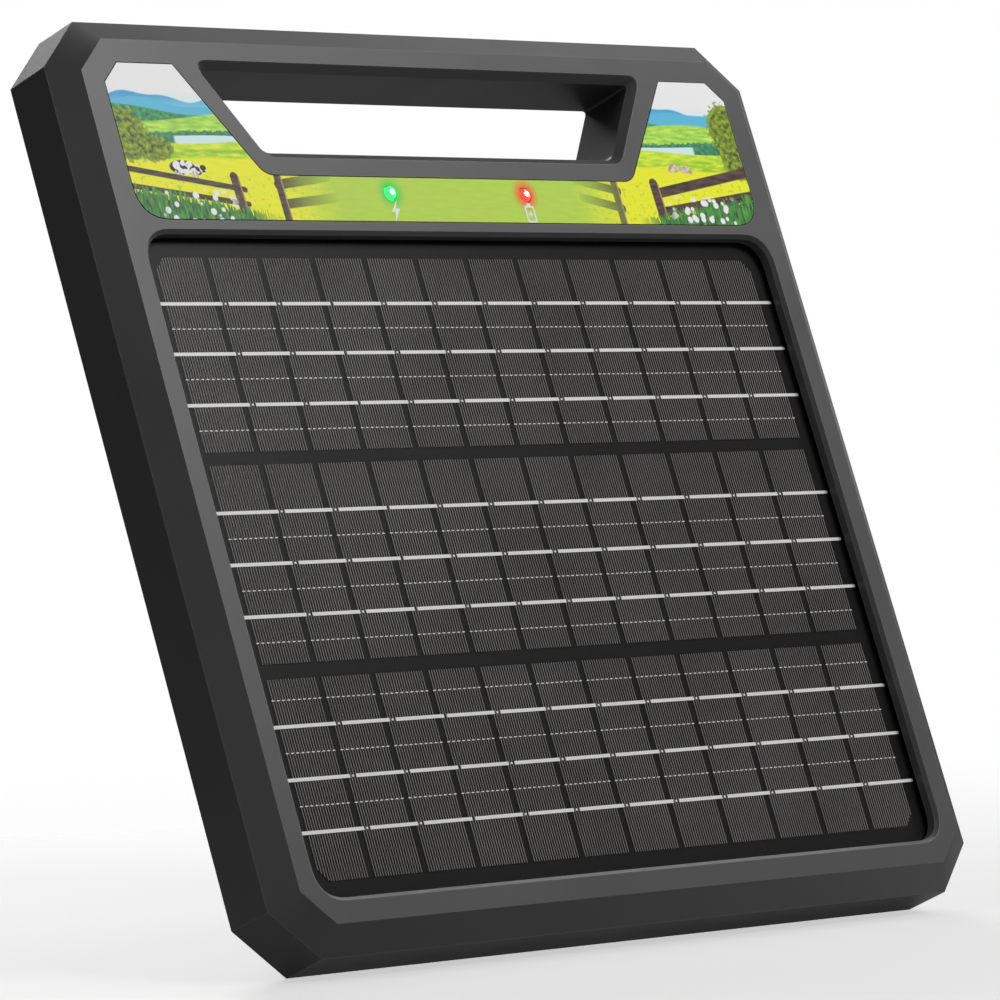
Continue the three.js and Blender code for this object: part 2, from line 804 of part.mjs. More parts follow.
// The rubber shoe on the foot bar, with its sole level on the floor when the leg is open.
function footShoe() {
  const { halfWidth, arm, thick, length } = stand;
  const half = thick / 2 + 2;
  const reach = halfWidth + 2;
  const tilt = Math.tan(legFromVertical);
  const points = [];
  for (const x of [-reach, reach]) {
    for (const y of [-half, half]) {
      points.push(new THREE.Vector3(x, y, -length + arm));
      points.push(new THREE.Vector3(x, y, -length - y * tilt));
    }
  }
  const bar = block(-halfWidth - GAP, halfWidth + GAP, -thick / 2 - GAP, thick / 2 + GAP, -length + 4 - GAP, 0);
  return cut(solid(new ConvexGeometry(points)), bar);
}

// ---- Assembly ----
const slabGroup = new THREE.Group();

slabGroup.add(
  piece("front_frame", frontFrame(), charcoal),
  piece("graphic_overlay", labelOverlay(), print),
  piece("status_lens_green", lens(-lamp.x), green),
  piece("status_lens_red", lens(lamp.x), red),
  piece("clear_front_sheet", plate(paneOutline(sheet.margin, 3), sheet.front, sheet.front + sheet.thickness), clear),
  piece("solar_laminate", plate(paneOutline(laminate.margin, 3), laminate.front, paneBack), silicon),
  piece("panel_junction_pad", junctionPad(), black),
  piece("perimeter_gasket", perimeterGasket(), rubber),
  piece("rear_shell", rearShell(), black),
);

// The small board behind the two lamps.
const { halfWidth: lampReach, front: lampFront, back: lampBack, bottom: lampBottom, top: lampTop } = lampBoard;
slabGroup.add(
  piece("lamp_board", block(-lampReach, lampReach, lampFront, lampBack, lampBottom, lampTop), circuit),
);

rimScrews.forEach(([x, z], i) => {
  slabGroup.add(panScrew(`shell_screw_${i + 1}`, x, z, shell.back, screw.length));
});

// Battery bay.
[-1, 1].forEach((column, c) =>
  [0, 1].forEach((row) => {
    slabGroup.add(piece(`battery_cell_${2 * c + row + 1}`, batteryCell(column, row), sleeveBlue));
  }),
);
slabGroup.add(piece("battery_tray", batteryTray(), black));
slabGroup.add(piece("battery_door", batteryDoor(), black));
doorScrews.forEach(([x, z], i) => {
  slabGroup.add(panScrew(`door_screw_${i + 1}`, x, z, box.back, door.screw));
});
slabGroup.add(piece("control_board", controlBoard(), circuit));
boardScrews.forEach(([x, z], i) => {
  const mesh = panScrew(`board_screw_${i + 1}`, x, z, 0, boardScrewLength);
  mesh.position.set(x, board.front - GAP - screw.headDepth, z);
  mesh.rotation.x = Math.PI;
  slabGroup.add(mesh);
});

slabGroup.add(
  piece("transformer_core", transformerCore(), ferrite),
  piece("transformer_winding", transformerWinding(), copper),
  piece("transistor_heat_sink", heatSink(), alloy),
);
storageCan.x.forEach((x, i) => {
  const can = standingCan(x, storageCan.z, storageCan.radius, storageCan.height);
  slabGroup.add(piece(`storage_capacitor_${i + 1}`, can, sleeveBlue));
});
slabGroup.add(
  piece("panel_wire_red", wire([[-8, 15.2, -3], [-20, 18, 2], [-34, 23, 4], [-40, 28.4, 4]], 0.9), red),
  piece("panel_wire_black", wire([[8, 15.2, -3], [20, 18, 2], [34, 23, 4], [40, 28.4, 4]], 0.9), rubber),
);

// Terminals, one for the fence and one for the ground rod.
for (const [name, z, colour] of [
  ["fence", terminal.fenceZ, red],
  ["ground", terminal.groundZ, black],
]) {
  slabGroup.add(
    piece(`${name}_collar`, collar(z), colour),
    piece(`${name}_stud`, stud(z), steel),
    piece(`${name}_washer`, terminalWasher(z), steel),
    piece(`${name}_knob`, terminalKnob(z), colour),
  );
}

// Power switch and charging jack.
slabGroup.add(piece("switch_body", switchBody(), black));
const rockerMesh = piece("power_rocker", rockerCap(), red);
rockerMesh.position.set(-box.halfWidth + 1.2, rocker.depth, rocker.z);
rockerMesh.rotation.y = rocker.tilt;
slabGroup.add(
  rockerMesh,
  piece("charging_jack", chargingJack(), black),
  piece("jack_cap", jackCap(), rubber),
  piece("cap_strap", capStrap(), rubber),
);

// Stand.
const pinReach = ear.inner + ear.width;
slabGroup.add(piece("stand_pin", barX(stand.pin, -pinReach, pinReach, stand.pivotDepth, stand.pivotZ), steel));
const standGroup = new THREE.Group();
standGroup.position.set(0, stand.pivotDepth, stand.pivotZ);
standGroup.rotation.x = legOpening;
standGroup.add(piece("stand_leg", standLeg(), charcoal), piece("stand_foot", footShoe(), rubber));
slabGroup.add(standGroup);

slabGroup.rotation.x = -LEAN;
const energizer = new THREE.Group();
energizer.add(slabGroup);
energizer.updateMatrixWorld(true);

// The origin is the middle of the bounding box's floor.
const bounds = new THREE.Box3().setFromObject(energizer, true);
const middle = bounds.getCenter(new THREE.Vector3());
slabGroup.position.set(-middle.x, -middle.y, -bounds.min.z);

export default energizer;
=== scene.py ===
# Fence energizer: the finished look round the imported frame.
#
# Shapes are drawn in the slab's own frame in millimetres: X right, Z up along the face, Y the depth behind
# the face. SLAB carries them into the row frame, in metres, where everything stands on the floor.
import json
import math

import bmesh
import bpy
from mathutils import Matrix, Vector


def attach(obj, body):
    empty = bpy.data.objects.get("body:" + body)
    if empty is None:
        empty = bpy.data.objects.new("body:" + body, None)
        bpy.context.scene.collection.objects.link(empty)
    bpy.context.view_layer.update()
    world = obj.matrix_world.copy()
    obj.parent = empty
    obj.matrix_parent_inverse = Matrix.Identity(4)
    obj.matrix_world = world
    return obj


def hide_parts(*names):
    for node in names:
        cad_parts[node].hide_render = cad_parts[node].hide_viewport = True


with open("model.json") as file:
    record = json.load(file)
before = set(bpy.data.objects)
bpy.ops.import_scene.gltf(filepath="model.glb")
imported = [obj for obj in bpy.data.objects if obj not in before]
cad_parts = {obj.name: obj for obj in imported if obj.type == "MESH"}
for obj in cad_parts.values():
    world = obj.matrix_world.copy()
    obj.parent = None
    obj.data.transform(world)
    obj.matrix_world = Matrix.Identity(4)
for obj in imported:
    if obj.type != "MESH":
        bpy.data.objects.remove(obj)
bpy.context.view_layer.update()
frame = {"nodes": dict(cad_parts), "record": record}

MM = 0.001
RIM = {"half_width": 160.5, "half_height": 161.2, "cut": 17, "widest_at": 7, "depth": 25.5}
FACE = {"half_width": 150.9, "half_height": 151.7, "cut": 11.6, "thickness": 4.6}
LEDGE = {"inset": 6.4, "depth": 20.9}
HANDLE = {
    "top": 145.3, "bottom": 110.5, "top_half": 103.6, "bottom_half": 81.6,
    "top_radius": 4, "bottom_radius": 8, "lip": 2.7,
}
SLEEVE = 2.5
PANE = {"half_width": 142.7, "top": 83, "bottom": -143, "radius": 11, "bevel": 1.3}
LABEL = {"half_width": 142.2, "top": 143.2, "bottom": 87.9, "cut": 7, "radius": 12}
ARM = {"top": 112, "bottom": 84.6, "strip_top": 103.9, "radius": 8}
LAMP = {"x": 31, "z": 98.3, "radius": 2.5}
SHELL = {"inset": 3.3, "front": 22.3, "back": 25.3}
BOX = {"half_width": 95, "top": 25, "bottom": -128, "back": 62, "radius": 10, "wall": 2.6}
DOOR = {"half_width": 72, "top": -78, "bottom": -122, "radius": 5, "thickness": 2.2, "lip": 2.4}
RIM_SCREWS = [(way * x, z) for x, z in ((151.5, -90), (151.5, 30), (128, 128), (60, -152)) for way in (1, -1)]
KEYHOLE = {"x": 118, "z": 60, "head": 4.5, "slot": 2.6, "rise": 11}
TERMINAL = {"depth": 44, "fence": -28, "ground": -82}
ROCKER_Z, JACK_Z = -28, -82
PIVOT = {"depth": 67.8, "z": 10}
GAP = 0.3

# ---- The slab's frame, read from the rear mount ----
rear_mount = next(m for m in frame["record"]["mounts"] if m["name"] == "rear_wall_face")
RIGHT = Vector((1, 0, 0))
BACK = Vector(rear_mount["axis"]).normalized()
UP = RIGHT.cross(BACK)
slab_origin = Vector(rear_mount["pos_m"]) - 128 * MM * RIGHT - SHELL["back"] * MM * BACK
SLAB = Matrix.Translation(slab_origin) @ Matrix((RIGHT, BACK, UP)).transposed().to_4x4() @ Matrix.Scale(MM, 4)


# ---- Outlines: lists of (x, z) ----
def rounded(corners, segments=8):
    """A closed outline through (x, z, radius) corners, each rounded by its own radius."""
    points = []
    for i, corner in enumerate(corners):
        x, z, radius = (*corner, 0)[:3]
        here = Vector((x, z))
        before = (Vector(corners[i - 1][:2]) - here).normalized()
        after = (Vector(corners[(i + 1) % len(corners)][:2]) - here).normalized()
        if radius <= 0:
            points.append(tuple(here))
            continue
        reach = radius / math.tan(before.angle(after) / 2)
        start, end = here + before * reach, here + after * reach
        for step in range(segments + 1):
            t = step / segments
            points.append(tuple(start * (1 - t) ** 2 + here * 2 * t * (1 - t) + end * t**2))
    return points


def octagon(half_width, half_height, cut):
    """Corners anticlockwise from the lower right."""
    right = [(half_width, cut - half_height), (half_width, half_height - cut), (half_width - cut, half_height)]
    left = [(cut - half_width, half_height), (-half_width, half_height - cut), (-half_width, cut - half_height)]
    return rounded([*right, *left, (cut - half_width, -half_height), (half_width - cut, -half_height)])


def slab_outline(inset):
    return octagon(
        RIM["half_width"] - inset, RIM["half_height"] - inset, RIM["cut"] - inset * (2 - math.sqrt(2))
    )


def rectangle(half_width, top, bottom, radius, segments=8):
    corners = [(half_width, bottom), (half_width, top), (-half_width, top), (-half_width, bottom)]
    return rounded([(*corner, radius) for corner in corners], segments)


def pane_outline(grow, radius):
    return rectangle(PANE["half_width"] + grow, PANE["top"] + grow, PANE["bottom"] - grow, radius)


def handle_outline(grow):
    lean = (HANDLE["top_half"] - HANDLE["bottom_half"]) / (HANDLE["top"] - HANDLE["bottom"])
    aside = grow * math.hypot(1, lean)
    top, bottom = HANDLE["top"] + grow, HANDLE["bottom"] - grow
    wide, narrow = (HANDLE["bottom_half"] + (z - HANDLE["bottom"]) * lean + aside for z in (top, bottom))
    below, above = HANDLE["bottom_radius"] + grow, HANDLE["top_radius"] + grow
    return rounded([(narrow, bottom, below), (wide, top, above), (-wide, top, above), (-narrow, bottom, below)])


def label_outline(grow):
    side, top = LABEL["half_width"] + grow, LABEL["top"] + grow
    right = [
        (ARM["bottom"] - grow, ARM["strip_top"] + grow, ARM["radius"]),
        (ARM["top"] - grow, top),
        (side - LABEL["cut"], top),
        (side, top - LABEL["cut"]),
        (side, LABEL["bottom"] - grow, LABEL["radius"]),
    ]
    left = [(-corner[0], *corner[1:]) for corner in reversed(right)]
    return rounded([*right, *left][::-1])


def circle(x, z, radius, sides=32):
    turns = [2 * math.pi * i / sides for i in range(sides)]
    return [(x + radius * math.cos(t), z + radius * math.sin(t)) for t in turns]


def box_outline(inset):
    return rectangle(
        BOX["half_width"] - inset, BOX["top"] - inset, BOX["bottom"] + inset, max(BOX["radius"] - inset, 2)
    )


def door_outline(grow):
    return rectangle(DOOR["half_width"] + grow, DOOR["top"] + grow, DOOR["bottom"] - grow, DOOR["radius"] + grow)


# ---- Meshes ----
def loft(layers):
    """A closed body through (outline, depth) layers with the same number of points."""
    bm = bmesh.new()
    rings = [[bm.verts.new((x, y, z)) for x, z in outline] for outline, y in layers]
    for low, high in zip(rings, rings[1:], strict=False):
        for i in range(len(low)):
            j = (i + 1) % len(low)
            bm.faces.new((low[i], low[j], high[j], high[i]))
    bm.faces.new(rings[0])
    bm.faces.new(rings[-1][::-1])
    bmesh.ops.recalc_face_normals(bm, faces=bm.faces)
    return bm


def plate(outline, y0, y1):
    return loft([(outline, y0), (outline, y1)])


def block(x0, x1, y0, y1, z0, z1):
    return plate([(x0, z0), (x1, z0), (x1, z1), (x0, z1)], y0, y1)


def turned(points, sides=48):
    """A body turned about X from (radius, x) points; a profile that doesn't start and end on the axis closes."""
    bm = bmesh.new()
    rings = []
    for radius, x in points:
        if radius < 1e-6:
            rings.append([bm.verts.new((x, 0, 0))] * sides)
            continue
        turns = [2 * math.pi * i / sides for i in range(sides)]
        rings.append([bm.verts.new((x, radius * math.cos(t), radius * math.sin(t))) for t in turns])
    on_axis = points[0][0] < 1e-6 and points[-1][0] < 1e-6
    following = rings[1:] if on_axis else rings[1:] + rings[:1]
    for low, high in zip(rings, following, strict=False):
        for i in range(sides):
            j = (i + 1) % sides
            corners = list(dict.fromkeys((low[i], low[j], high[j], high[i])))
            if len(corners) > 2:
                bm.faces.new(corners)
    bmesh.ops.recalc_face_normals(bm, faces=bm.faces)
    return bm


def placed(bm, matrix):
    bmesh.ops.transform(bm, matrix=matrix, verts=bm.verts)
    return bm


def merged(*parts):
    whole = bmesh.new()
    for part in parts:
        spare = bpy.data.meshes.new("spare")
        part.to_mesh(spare)
        part.free()
        whole.from_mesh(spare)
        bpy.data.meshes.remove(spare)
    return whole


def loose(bm, name):
    mesh = bpy.data.meshes.new(name)
    bm.to_mesh(mesh)
    bm.free()
    made = bpy.data.objects.new(name, mesh)
    bpy.context.scene.collection.objects.link(made)
    return made


def carved(base, *steps):
    """base with each (operation, body) step applied: UNION or DIFFERENCE."""
    target = loose(base, "carving")
    tools = []
    for operation, bm in steps:
        tool = loose(bm, "tool")
        tools.append(tool)
        modifier = target.modifiers.new(operation, "BOOLEAN")
        modifier.operation = operation
        modifier.object = tool
        modifier.solver = "EXACT"
    bpy.context.view_layer.update()
    finished = target.evaluated_get(bpy.context.evaluated_depsgraph_get())
    bm = bmesh.new()
    bm.from_mesh(finished.data)
    bmesh.ops.remove_doubles(bm, verts=bm.verts, dist=1e-4)
    for spare in (target, *tools):
        mesh = spare.data
        bpy.data.objects.remove(spare)
        bpy.data.meshes.remove(mesh)
    return bm


def cut(*bodies):
    return [("DIFFERENCE", bm) for bm in bodies]


def add(*bodies):
    return [("UNION", bm) for bm in bodies]


def piece(name, bm, material, body="housing", stands_for=(), bevel=0.0, smooth=35, matrix=SLAB):
    """A finished piece: placed in the row frame, with its edges rounded by bevel millimetres."""
    placed(bm, matrix)
    made = loose(bm, name)
    made.data.materials.append(material)
    for face in made.data.polygons:
        face.use_smooth = True
    made.data.set_sharp_from_angle(angle=math.radians(smooth))
    if bevel:
        soften(made, bevel)
    if stands_for:
        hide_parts(*stands_for)
    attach(made, body)
    return made


def soften(made, width, segments=2):
    modifier = made.modifiers.new("edges", "BEVEL")
    modifier.width = width * MM
    modifier.segments = segments
    modifier.limit_method = "ANGLE"
    modifier.angle_limit = math.radians(28)
    modifier.harden_normals = True


def cad(name, material, bevel=0.0):
    """A CAD node that keeps its shape and takes a finished material."""
    node = frame["nodes"][name]
    node.data.materials.clear()
    node.data.materials.append(material)
    if bevel:
        soften(node, bevel, 1)
    return node


# ---- Materials ----
class Maths:
    """A number in a material's nodes, so that a pattern can be written as a formula."""

    def __init__(self, tree, socket):
        self.tree, self.socket = tree, socket

    def _with(self, operation, other, swap=False):
        node = self.tree.nodes.new("ShaderNodeMath")
        node.operation = operation
        for socket, value in zip(node.inputs, (other, self) if swap else (self, other), strict=False):
            if isinstance(value, Maths):
                self.tree.links.new(value.socket, socket)
            elif value is not None:
                socket.default_value = value
        return Maths(self.tree, node.outputs[0])

    def __add__(self, other):
        return self._with("ADD", other)

    __radd__ = __add__

    def __sub__(self, other):
        return self._with("SUBTRACT", other)

    def __rsub__(self, other):
        return self._with("SUBTRACT", other, swap=True)

    def __mul__(self, other):
        return self._with("MULTIPLY", other)

    def __truediv__(self, other):
        return self._with("DIVIDE", other)

    def sin(self):
        return self._with("SINE", None)

    def abs(self):
        return self._with("ABSOLUTE", None)

    def sqrt(self):
        return self._with("SQRT", None)

    def max(self, other):
        return self._with("MAXIMUM", other)

    def min(self, other):
        return self._with("MINIMUM", other)

    def clamp(self):
        return self.max(0).min(1)

    def under(self, edge, soft=0.15):
        """1 where this is under the edge, 0 above, over a soft step."""
        return ((edge - self if isinstance(edge, Maths) else self * -1 + edge) / soft + 0.5).clamp()


def new_material(name, roughness=0.5, metallic=0.0, coat=0.0):
    material = bpy.data.materials.new(name)
    material.use_nodes = True
    shader = material.node_tree.nodes["Principled BSDF"]
    shader.inputs["Roughness"].default_value = roughness
    shader.inputs["Metallic"].default_value = metallic
    shader.inputs["Coat Weight"].default_value = coat
    return material, material.node_tree, shader


def coordinates(tree):
    return tree.nodes.new("ShaderNodeTexCoord").outputs["Object"]


def noise(tree, scale, detail=3.0, vector=None, stretch=None):
    """Noise from 0 to 1; scale is per metre, and stretch squeezes it along X, Y or Z."""
    source = vector or coordinates(tree)
    if stretch:
        mapping = tree.nodes.new("ShaderNodeMapping")
        mapping.inputs["Scale"].default_value = stretch
        tree.links.new(source, mapping.inputs["Vector"])
        source = mapping.outputs["Vector"]
    node = tree.nodes.new("ShaderNodeTexNoise")
    node.inputs["Scale"].default_value = scale
    node.inputs["Detail"].default_value = detail
    tree.links.new(source, node.inputs["Vector"])
    return Maths(tree, node.outputs["Fac"])


def mix(tree, factor, low, high):
    """The colour low where factor is 0 and high where it is 1; each is a colour or a socket."""
    node = tree.nodes.new("ShaderNodeMix")
    node.data_type = "RGBA"
    tree.links.new(factor.socket, node.inputs["Factor"])
    for socket, colour in ((node.inputs[6], low), (node.inputs[7], high)):
        if isinstance(colour, tuple):
            socket.default_value = (*colour, 1)
        else:
            tree.links.new(colour, socket)
    return node.outputs[2]


def edge_mask(tree, radius, gain):
    """1 along sharp edges, from how far a rounded normal turns from the true one."""
    bevel = tree.nodes.new("ShaderNodeBevel")
    bevel.samples = 4
    bevel.inputs["Radius"].default_value = radius * MM
    geometry = tree.nodes.new("ShaderNodeNewGeometry")
    dot = tree.nodes.new("ShaderNodeVectorMath")
    dot.operation = "DOT_PRODUCT"
    tree.links.new(bevel.outputs["Normal"], dot.inputs[0])
    tree.links.new(geometry.outputs["Normal"], dot.inputs[1])
    return ((1 - Maths(tree, dot.outputs["Value"])) * gain).clamp()


def surface(name, colour, roughness, spread=0.12, grain=900, bump=0.08, wear=0.0, wear_and_highlight_colour=None, metallic=0.0,
            coat=0.0, stretch=None, specular=0.5, edge_highlight=0.0):
    """A moulded, rubber or metal surface: cloudy colour, uneven gloss, a fine grain, scuffed edges and, on surfaces
    that ask for it, a painted highlight along sharp edges.
    """
    material, tree, shader = new_material(name, roughness, metallic, coat)
    shader.inputs["Specular IOR Level"].default_value = specular
    cloud = noise(tree, 22, 4)
    fine = noise(tree, grain, 2, stretch=stretch)
    dark = tuple(c * (1 - spread) for c in colour)
    light = tuple(min(1, c * (1 + spread)) for c in colour)
    tone = mix(tree, (cloud * 0.7 + fine * 0.3 - 0.2) * 1.6, dark, light)
    if wear:
        # Sharp edges turn lighter: the noise-broken scuffs scaled by wear are real wear, and the even part along
        # every edge is a painted highlight.
        scuffs_and_highlight = edge_mask(tree, 0.7, 2.2) * ((noise(tree, 160, 5) * 2.2 - 0.6).clamp() * wear + edge_highlight)
        tone = mix(tree, scuffs_and_highlight.clamp(), tone, wear_and_highlight_colour or tuple(min(1, c * 2.4 + 0.02) for c in colour))
    tree.links.new(tone, shader.inputs["Base Color"])
    gloss = cloud * 0.16 + fine * 0.06 + (roughness - 0.11)
    tree.links.new(gloss.clamp().socket, shader.inputs["Roughness"])
    raised = tree.nodes.new("ShaderNodeBump")
    raised.inputs["Strength"].default_value = bump
    raised.inputs["Distance"].default_value = 0.1 * MM
    tree.links.new(fine.socket, raised.inputs["Height"])
    tree.links.new(raised.outputs["Normal"], shader.inputs["Normal"])
    return material


# The charcoal's edges carry an even painted highlight as well as scuffs.
CHARCOAL = surface("satin_charcoal", (0.05, 0.05, 0.051), 0.4, spread=0.05, bump=0.1, wear=0.6, edge_highlight=3.0)
BLACK = surface("textured_black", (0.020, 0.020, 0.021), 0.5, grain=1400, bump=0.3, wear=0.4)
RUBBER = surface("matt_rubber", (0.012, 0.012, 0.012), 0.78, grain=600, bump=0.25, wear=0.2)
RED = surface("red_moulding", (0.50, 0.018, 0.014), 0.36, spread=0.08, wear=0.3, wear_and_highlight_colour=(0.62, 0.12, 0.1))
STEEL = surface("plated_steel", (0.60, 0.61, 0.63), 0.3, spread=0.08, grain=500, bump=0.05, metallic=1.0)
BRUSHED = surface("turned_steel", (0.55, 0.56, 0.57), 0.32, grain=260, bump=0.12, metallic=1.0, stretch=(12, 1, 1))
LEG_COAT = surface("powder_coat", (0.024, 0.024, 0.025), 0.48, grain=1100, bump=0.5, wear=0.7,
                   wear_and_highlight_colour=(0.3, 0.3, 0.31))
BOARD_GREEN = surface("solder_mask", (0.015, 0.11, 0.035), 0.34, spread=0.2, grain=700)
CAN_BLUE = surface("shrink_sleeve", (0.025, 0.10, 0.42), 0.3, spread=0.1, coat=0.3)
FERRITE = surface("ferrite", (0.05, 0.046, 0.043), 0.66, grain=1600, bump=0.4)
COPPER = surface("enamelled_copper", (0.55, 0.22, 0.07), 0.35, metallic=0.9, stretch=(1, 1, 9), grain=300, bump=0.4)
ALLOY = surface("extruded_alloy", (0.5, 0.51, 0.53), 0.4, metallic=1.0, grain=400, stretch=(1, 12, 1), bump=0.2)
SEALED = 0.12  # under the clear sheet, where there is hardly a change of index
BACKING = surface("cell_backing", (0.0055, 0.0056, 0.006), 0.4, spread=0.1, bump=0.05, specular=SEALED)
WAFER = surface("silicon_wafer", (0.0032, 0.0032, 0.0036), 0.3, spread=0.3, grain=300, bump=0.02, specular=SEALED)
SILVER = surface("printed_silver", (0.36, 0.345, 0.325), 0.42, spread=0.3, grain=420, bump=0.03, specular=SEALED)
RIBBON = surface("tinned_ribbon", (0.93, 0.93, 0.91), 0.4, spread=0.03, grain=500, bump=0.05, specular=0.9)
WHITE_INK = surface("white_ink", (0.9, 0.92, 0.88), 0.4, spread=0.03)


def clear_film():
    """The clear sheet over the cells: see-through, with a soft shine that grows at low angles."""
    material = bpy.data.materials.new("clear_film")
    material.use_nodes = True
    tree = material.node_tree
    tree.nodes.clear()
    through = tree.nodes.new("ShaderNodeBsdfTransparent")
    shine = tree.nodes.new("ShaderNodeBsdfGlossy")
    shine.inputs["Roughness"].default_value = 0.3
    fresnel = tree.nodes.new("ShaderNodeFresnel")
    fresnel.inputs["IOR"].default_value = 1.08
    ripple = tree.nodes.new("ShaderNodeBump")
    ripple.inputs["Strength"].default_value = 0.01
    ripple.inputs["Distance"].default_value = 0.1 * MM
    tree.links.new(noise(tree, 320, 2).socket, ripple.inputs["Height"])
    tree.links.new(ripple.outputs["Normal"], shine.inputs["Normal"])
    blend = tree.nodes.new("ShaderNodeMixShader")
    tree.links.new(fresnel.outputs[0], blend.inputs[0])
    tree.links.new(through.outputs[0], blend.inputs[1])
    tree.links.new(shine.outputs[0], blend.inputs[2])
    output = tree.nodes.new("ShaderNodeOutputMaterial")
    tree.links.new(blend.outputs[0], output.inputs["Surface"])
    return material


def lens_material(name, colour, power):
    """Coloured diffusing plastic lit from behind."""
    material, tree, shader = new_material(name, 0.12, coat=0.6)
    tone = mix(tree, noise(tree, 900, 2), colour, tuple(c * 0.6 for c in colour))
    tree.links.new(tone, shader.inputs["Base Color"])
    shader.inputs["Emission Color"].default_value = (*colour, 1)
    shader.inputs["Emission Strength"].default_value = power
    return material


# ---- Front frame ----
def front_frame():
    outer = loft(
        [
            (octagon(FACE["half_width"], FACE["half_height"], FACE["cut"]), 0),
            (slab_outline(0.5), RIM["widest_at"]),
            (slab_outline(0), RIM["depth"]),
        ]
    )
    front, back = FACE["thickness"], RIM["depth"]
    inside = carved(
        plate(slab_outline(LEDGE["inset"]), front, LEDGE["depth"] + 1),
        *add(plate(slab_outline(2.9), LEDGE["depth"], back + 1)),
        *cut(plate(handle_outline(SLEEVE - HANDLE["lip"]), front - 1, back + 2)),
    )
    grip = loft([(handle_outline(1), -1), (handle_outline(-HANDLE["lip"] - 0.5), HANDLE["lip"] + 0.5)])
    window = loft([(pane_outline(PANE["bevel"] + 1, 13), -1), (pane_outline(-0.5, 11), PANE["bevel"] + 0.5)])
    lamps = [plate(circle(x, LAMP["z"], 2.8), -1, front + 1) for x in (-LAMP["x"], LAMP["x"])]
    return carved(
        outer,
        *cut(
            inside,
            plate(handle_outline(-HANDLE["lip"]), -1, back + 1),
            grip,
            plate(pane_outline(0, 11), -1, front + 1),
            window,
            plate(label_outline(GAP), -1, 0.8),
            *lamps,
        ),
    )


piece("frame_moulding", front_frame(), CHARCOAL, stands_for=["front_frame"], bevel=0.45)


# ---- Printed overlay ----
class Picture:
    """The pasture printed on the overlay: each step paints over what is there, by the slab's X and Z."""

    def __init__(self, tree):
        self.tree = tree
        uv = tree.nodes.new("ShaderNodeUVMap")
        uv.uv_map = "slab"
        self.vector = uv.outputs["UV"]
        split = tree.nodes.new("ShaderNodeSeparateXYZ")
        tree.links.new(self.vector, split.inputs[0])
        self.x = Maths(tree, split.outputs["X"]) * 100
        self.z = Maths(tree, split.outputs["Y"]) * 100
        self.side = self.x.abs()
        self.leaf = noise(tree, 55, 4, self.vector)
        self.blade = noise(tree, 60, 4, self.vector, stretch=(1.6, 0.35, 1))
        self.streak = noise(tree, 30, 4, self.vector, stretch=(0.5, 2.6, 1))
        self.colour = None

    def shade(self, mask, dark, light):
        return mix(self.tree, ((mask - 0.35) * 3.2).clamp(), dark, light)

    def paint(self, mask, colour):
        self.colour = mix(self.tree, mask, self.colour, colour)

    def ridge(self, height, *waves):
        """A hill line: (length, rise, shift) sine waves along X on a height."""
        line = self.x * 0 + height
        for length, rise, shift in waves:
            line = line + (self.x / length + shift).sin() * rise
        return line

    def segment(self, x0, z0, x1, z1):
        """The distance to a straight stroke."""
        dx, dz = x1 - x0, z1 - z0
        px, pz = self.x - x0, self.z - z0
        along = ((px * dx + pz * dz) / (dx * dx + dz * dz)).clamp()
        gap_x, gap_z = px - along * dx, pz - along * dz
        return (gap_x * gap_x + gap_z * gap_z).sqrt()

    def ellipse(self, x, z, half_x, half_z):
        """The distance from a centre, 1 at the ellipse's edge."""
        px, pz = (self.x - x) / half_x, (self.z - z) / half_z
        return (px * px + pz * pz).sqrt()

    def dots(self, scale, size):
        node = self.tree.nodes.new("ShaderNodeTexVoronoi")
        node.inputs["Scale"].default_value = scale
        self.tree.links.new(self.vector, node.inputs["Vector"])
        return Maths(self.tree, node.outputs["Distance"]).under(size, 0.08)


# Strokes are (x0, z0, x1, z1, half width) in slab millimetres.
RAILS = [
    (-143, 105.6, -95, 98.6, 1.05),
    (-143, 99.4, -95, 93.4, 1.0),
    (143, 108.4, 96, 99.8, 1.9),
    (143, 99.4, 96, 92.6, 1.8),
    (-80, 100.6, -58, 103.8, 1.8),
    (-79, 93.6, -54, 96.4, 1.7),
    (76, 100.4, 56, 104.4, 1.6),
    (76, 93.8, 58, 97.6, 1.6),
]
POSTS = [
    (-98.4, 103.2, -97.4, 84, 1.7),
    (-79.8, 106, -79.4, 84, 1.5),
    (75, 106, 74.6, 84, 1.5),
    (94.6, 103.4, 95, 84, 2),
]
# Ellipses are (x, z, half width, half height) in slab millimetres.
TREES = [(-139, 117.5, 8.5, 9.5), (-129, 112.8, 8, 4.6), (139, 124, 9, 11), (141, 114, 9, 9)]
COW = [(-119.2, 106.2, 5.6, 2.6), (-113.4, 105.4, 2.3, 1.9), (-110.9, 105.6, 1.3, 1.1)]
COW_HEAD = (-110.7, 106.2, 1.3, 1.0)
COW_LEGS = [(x, 104.6, x + 0.3, 101.4, 0.5) for x in (-122.6, -121.2, -115.4, -114)]
SHEEP = [(107, 109.6, 2.4, 1.7), (112.2, 109.2, 2.6, 1.6), (104.9, 108.7, 0.9, 0.9), (114.9, 108, 0.9, 0.9)]


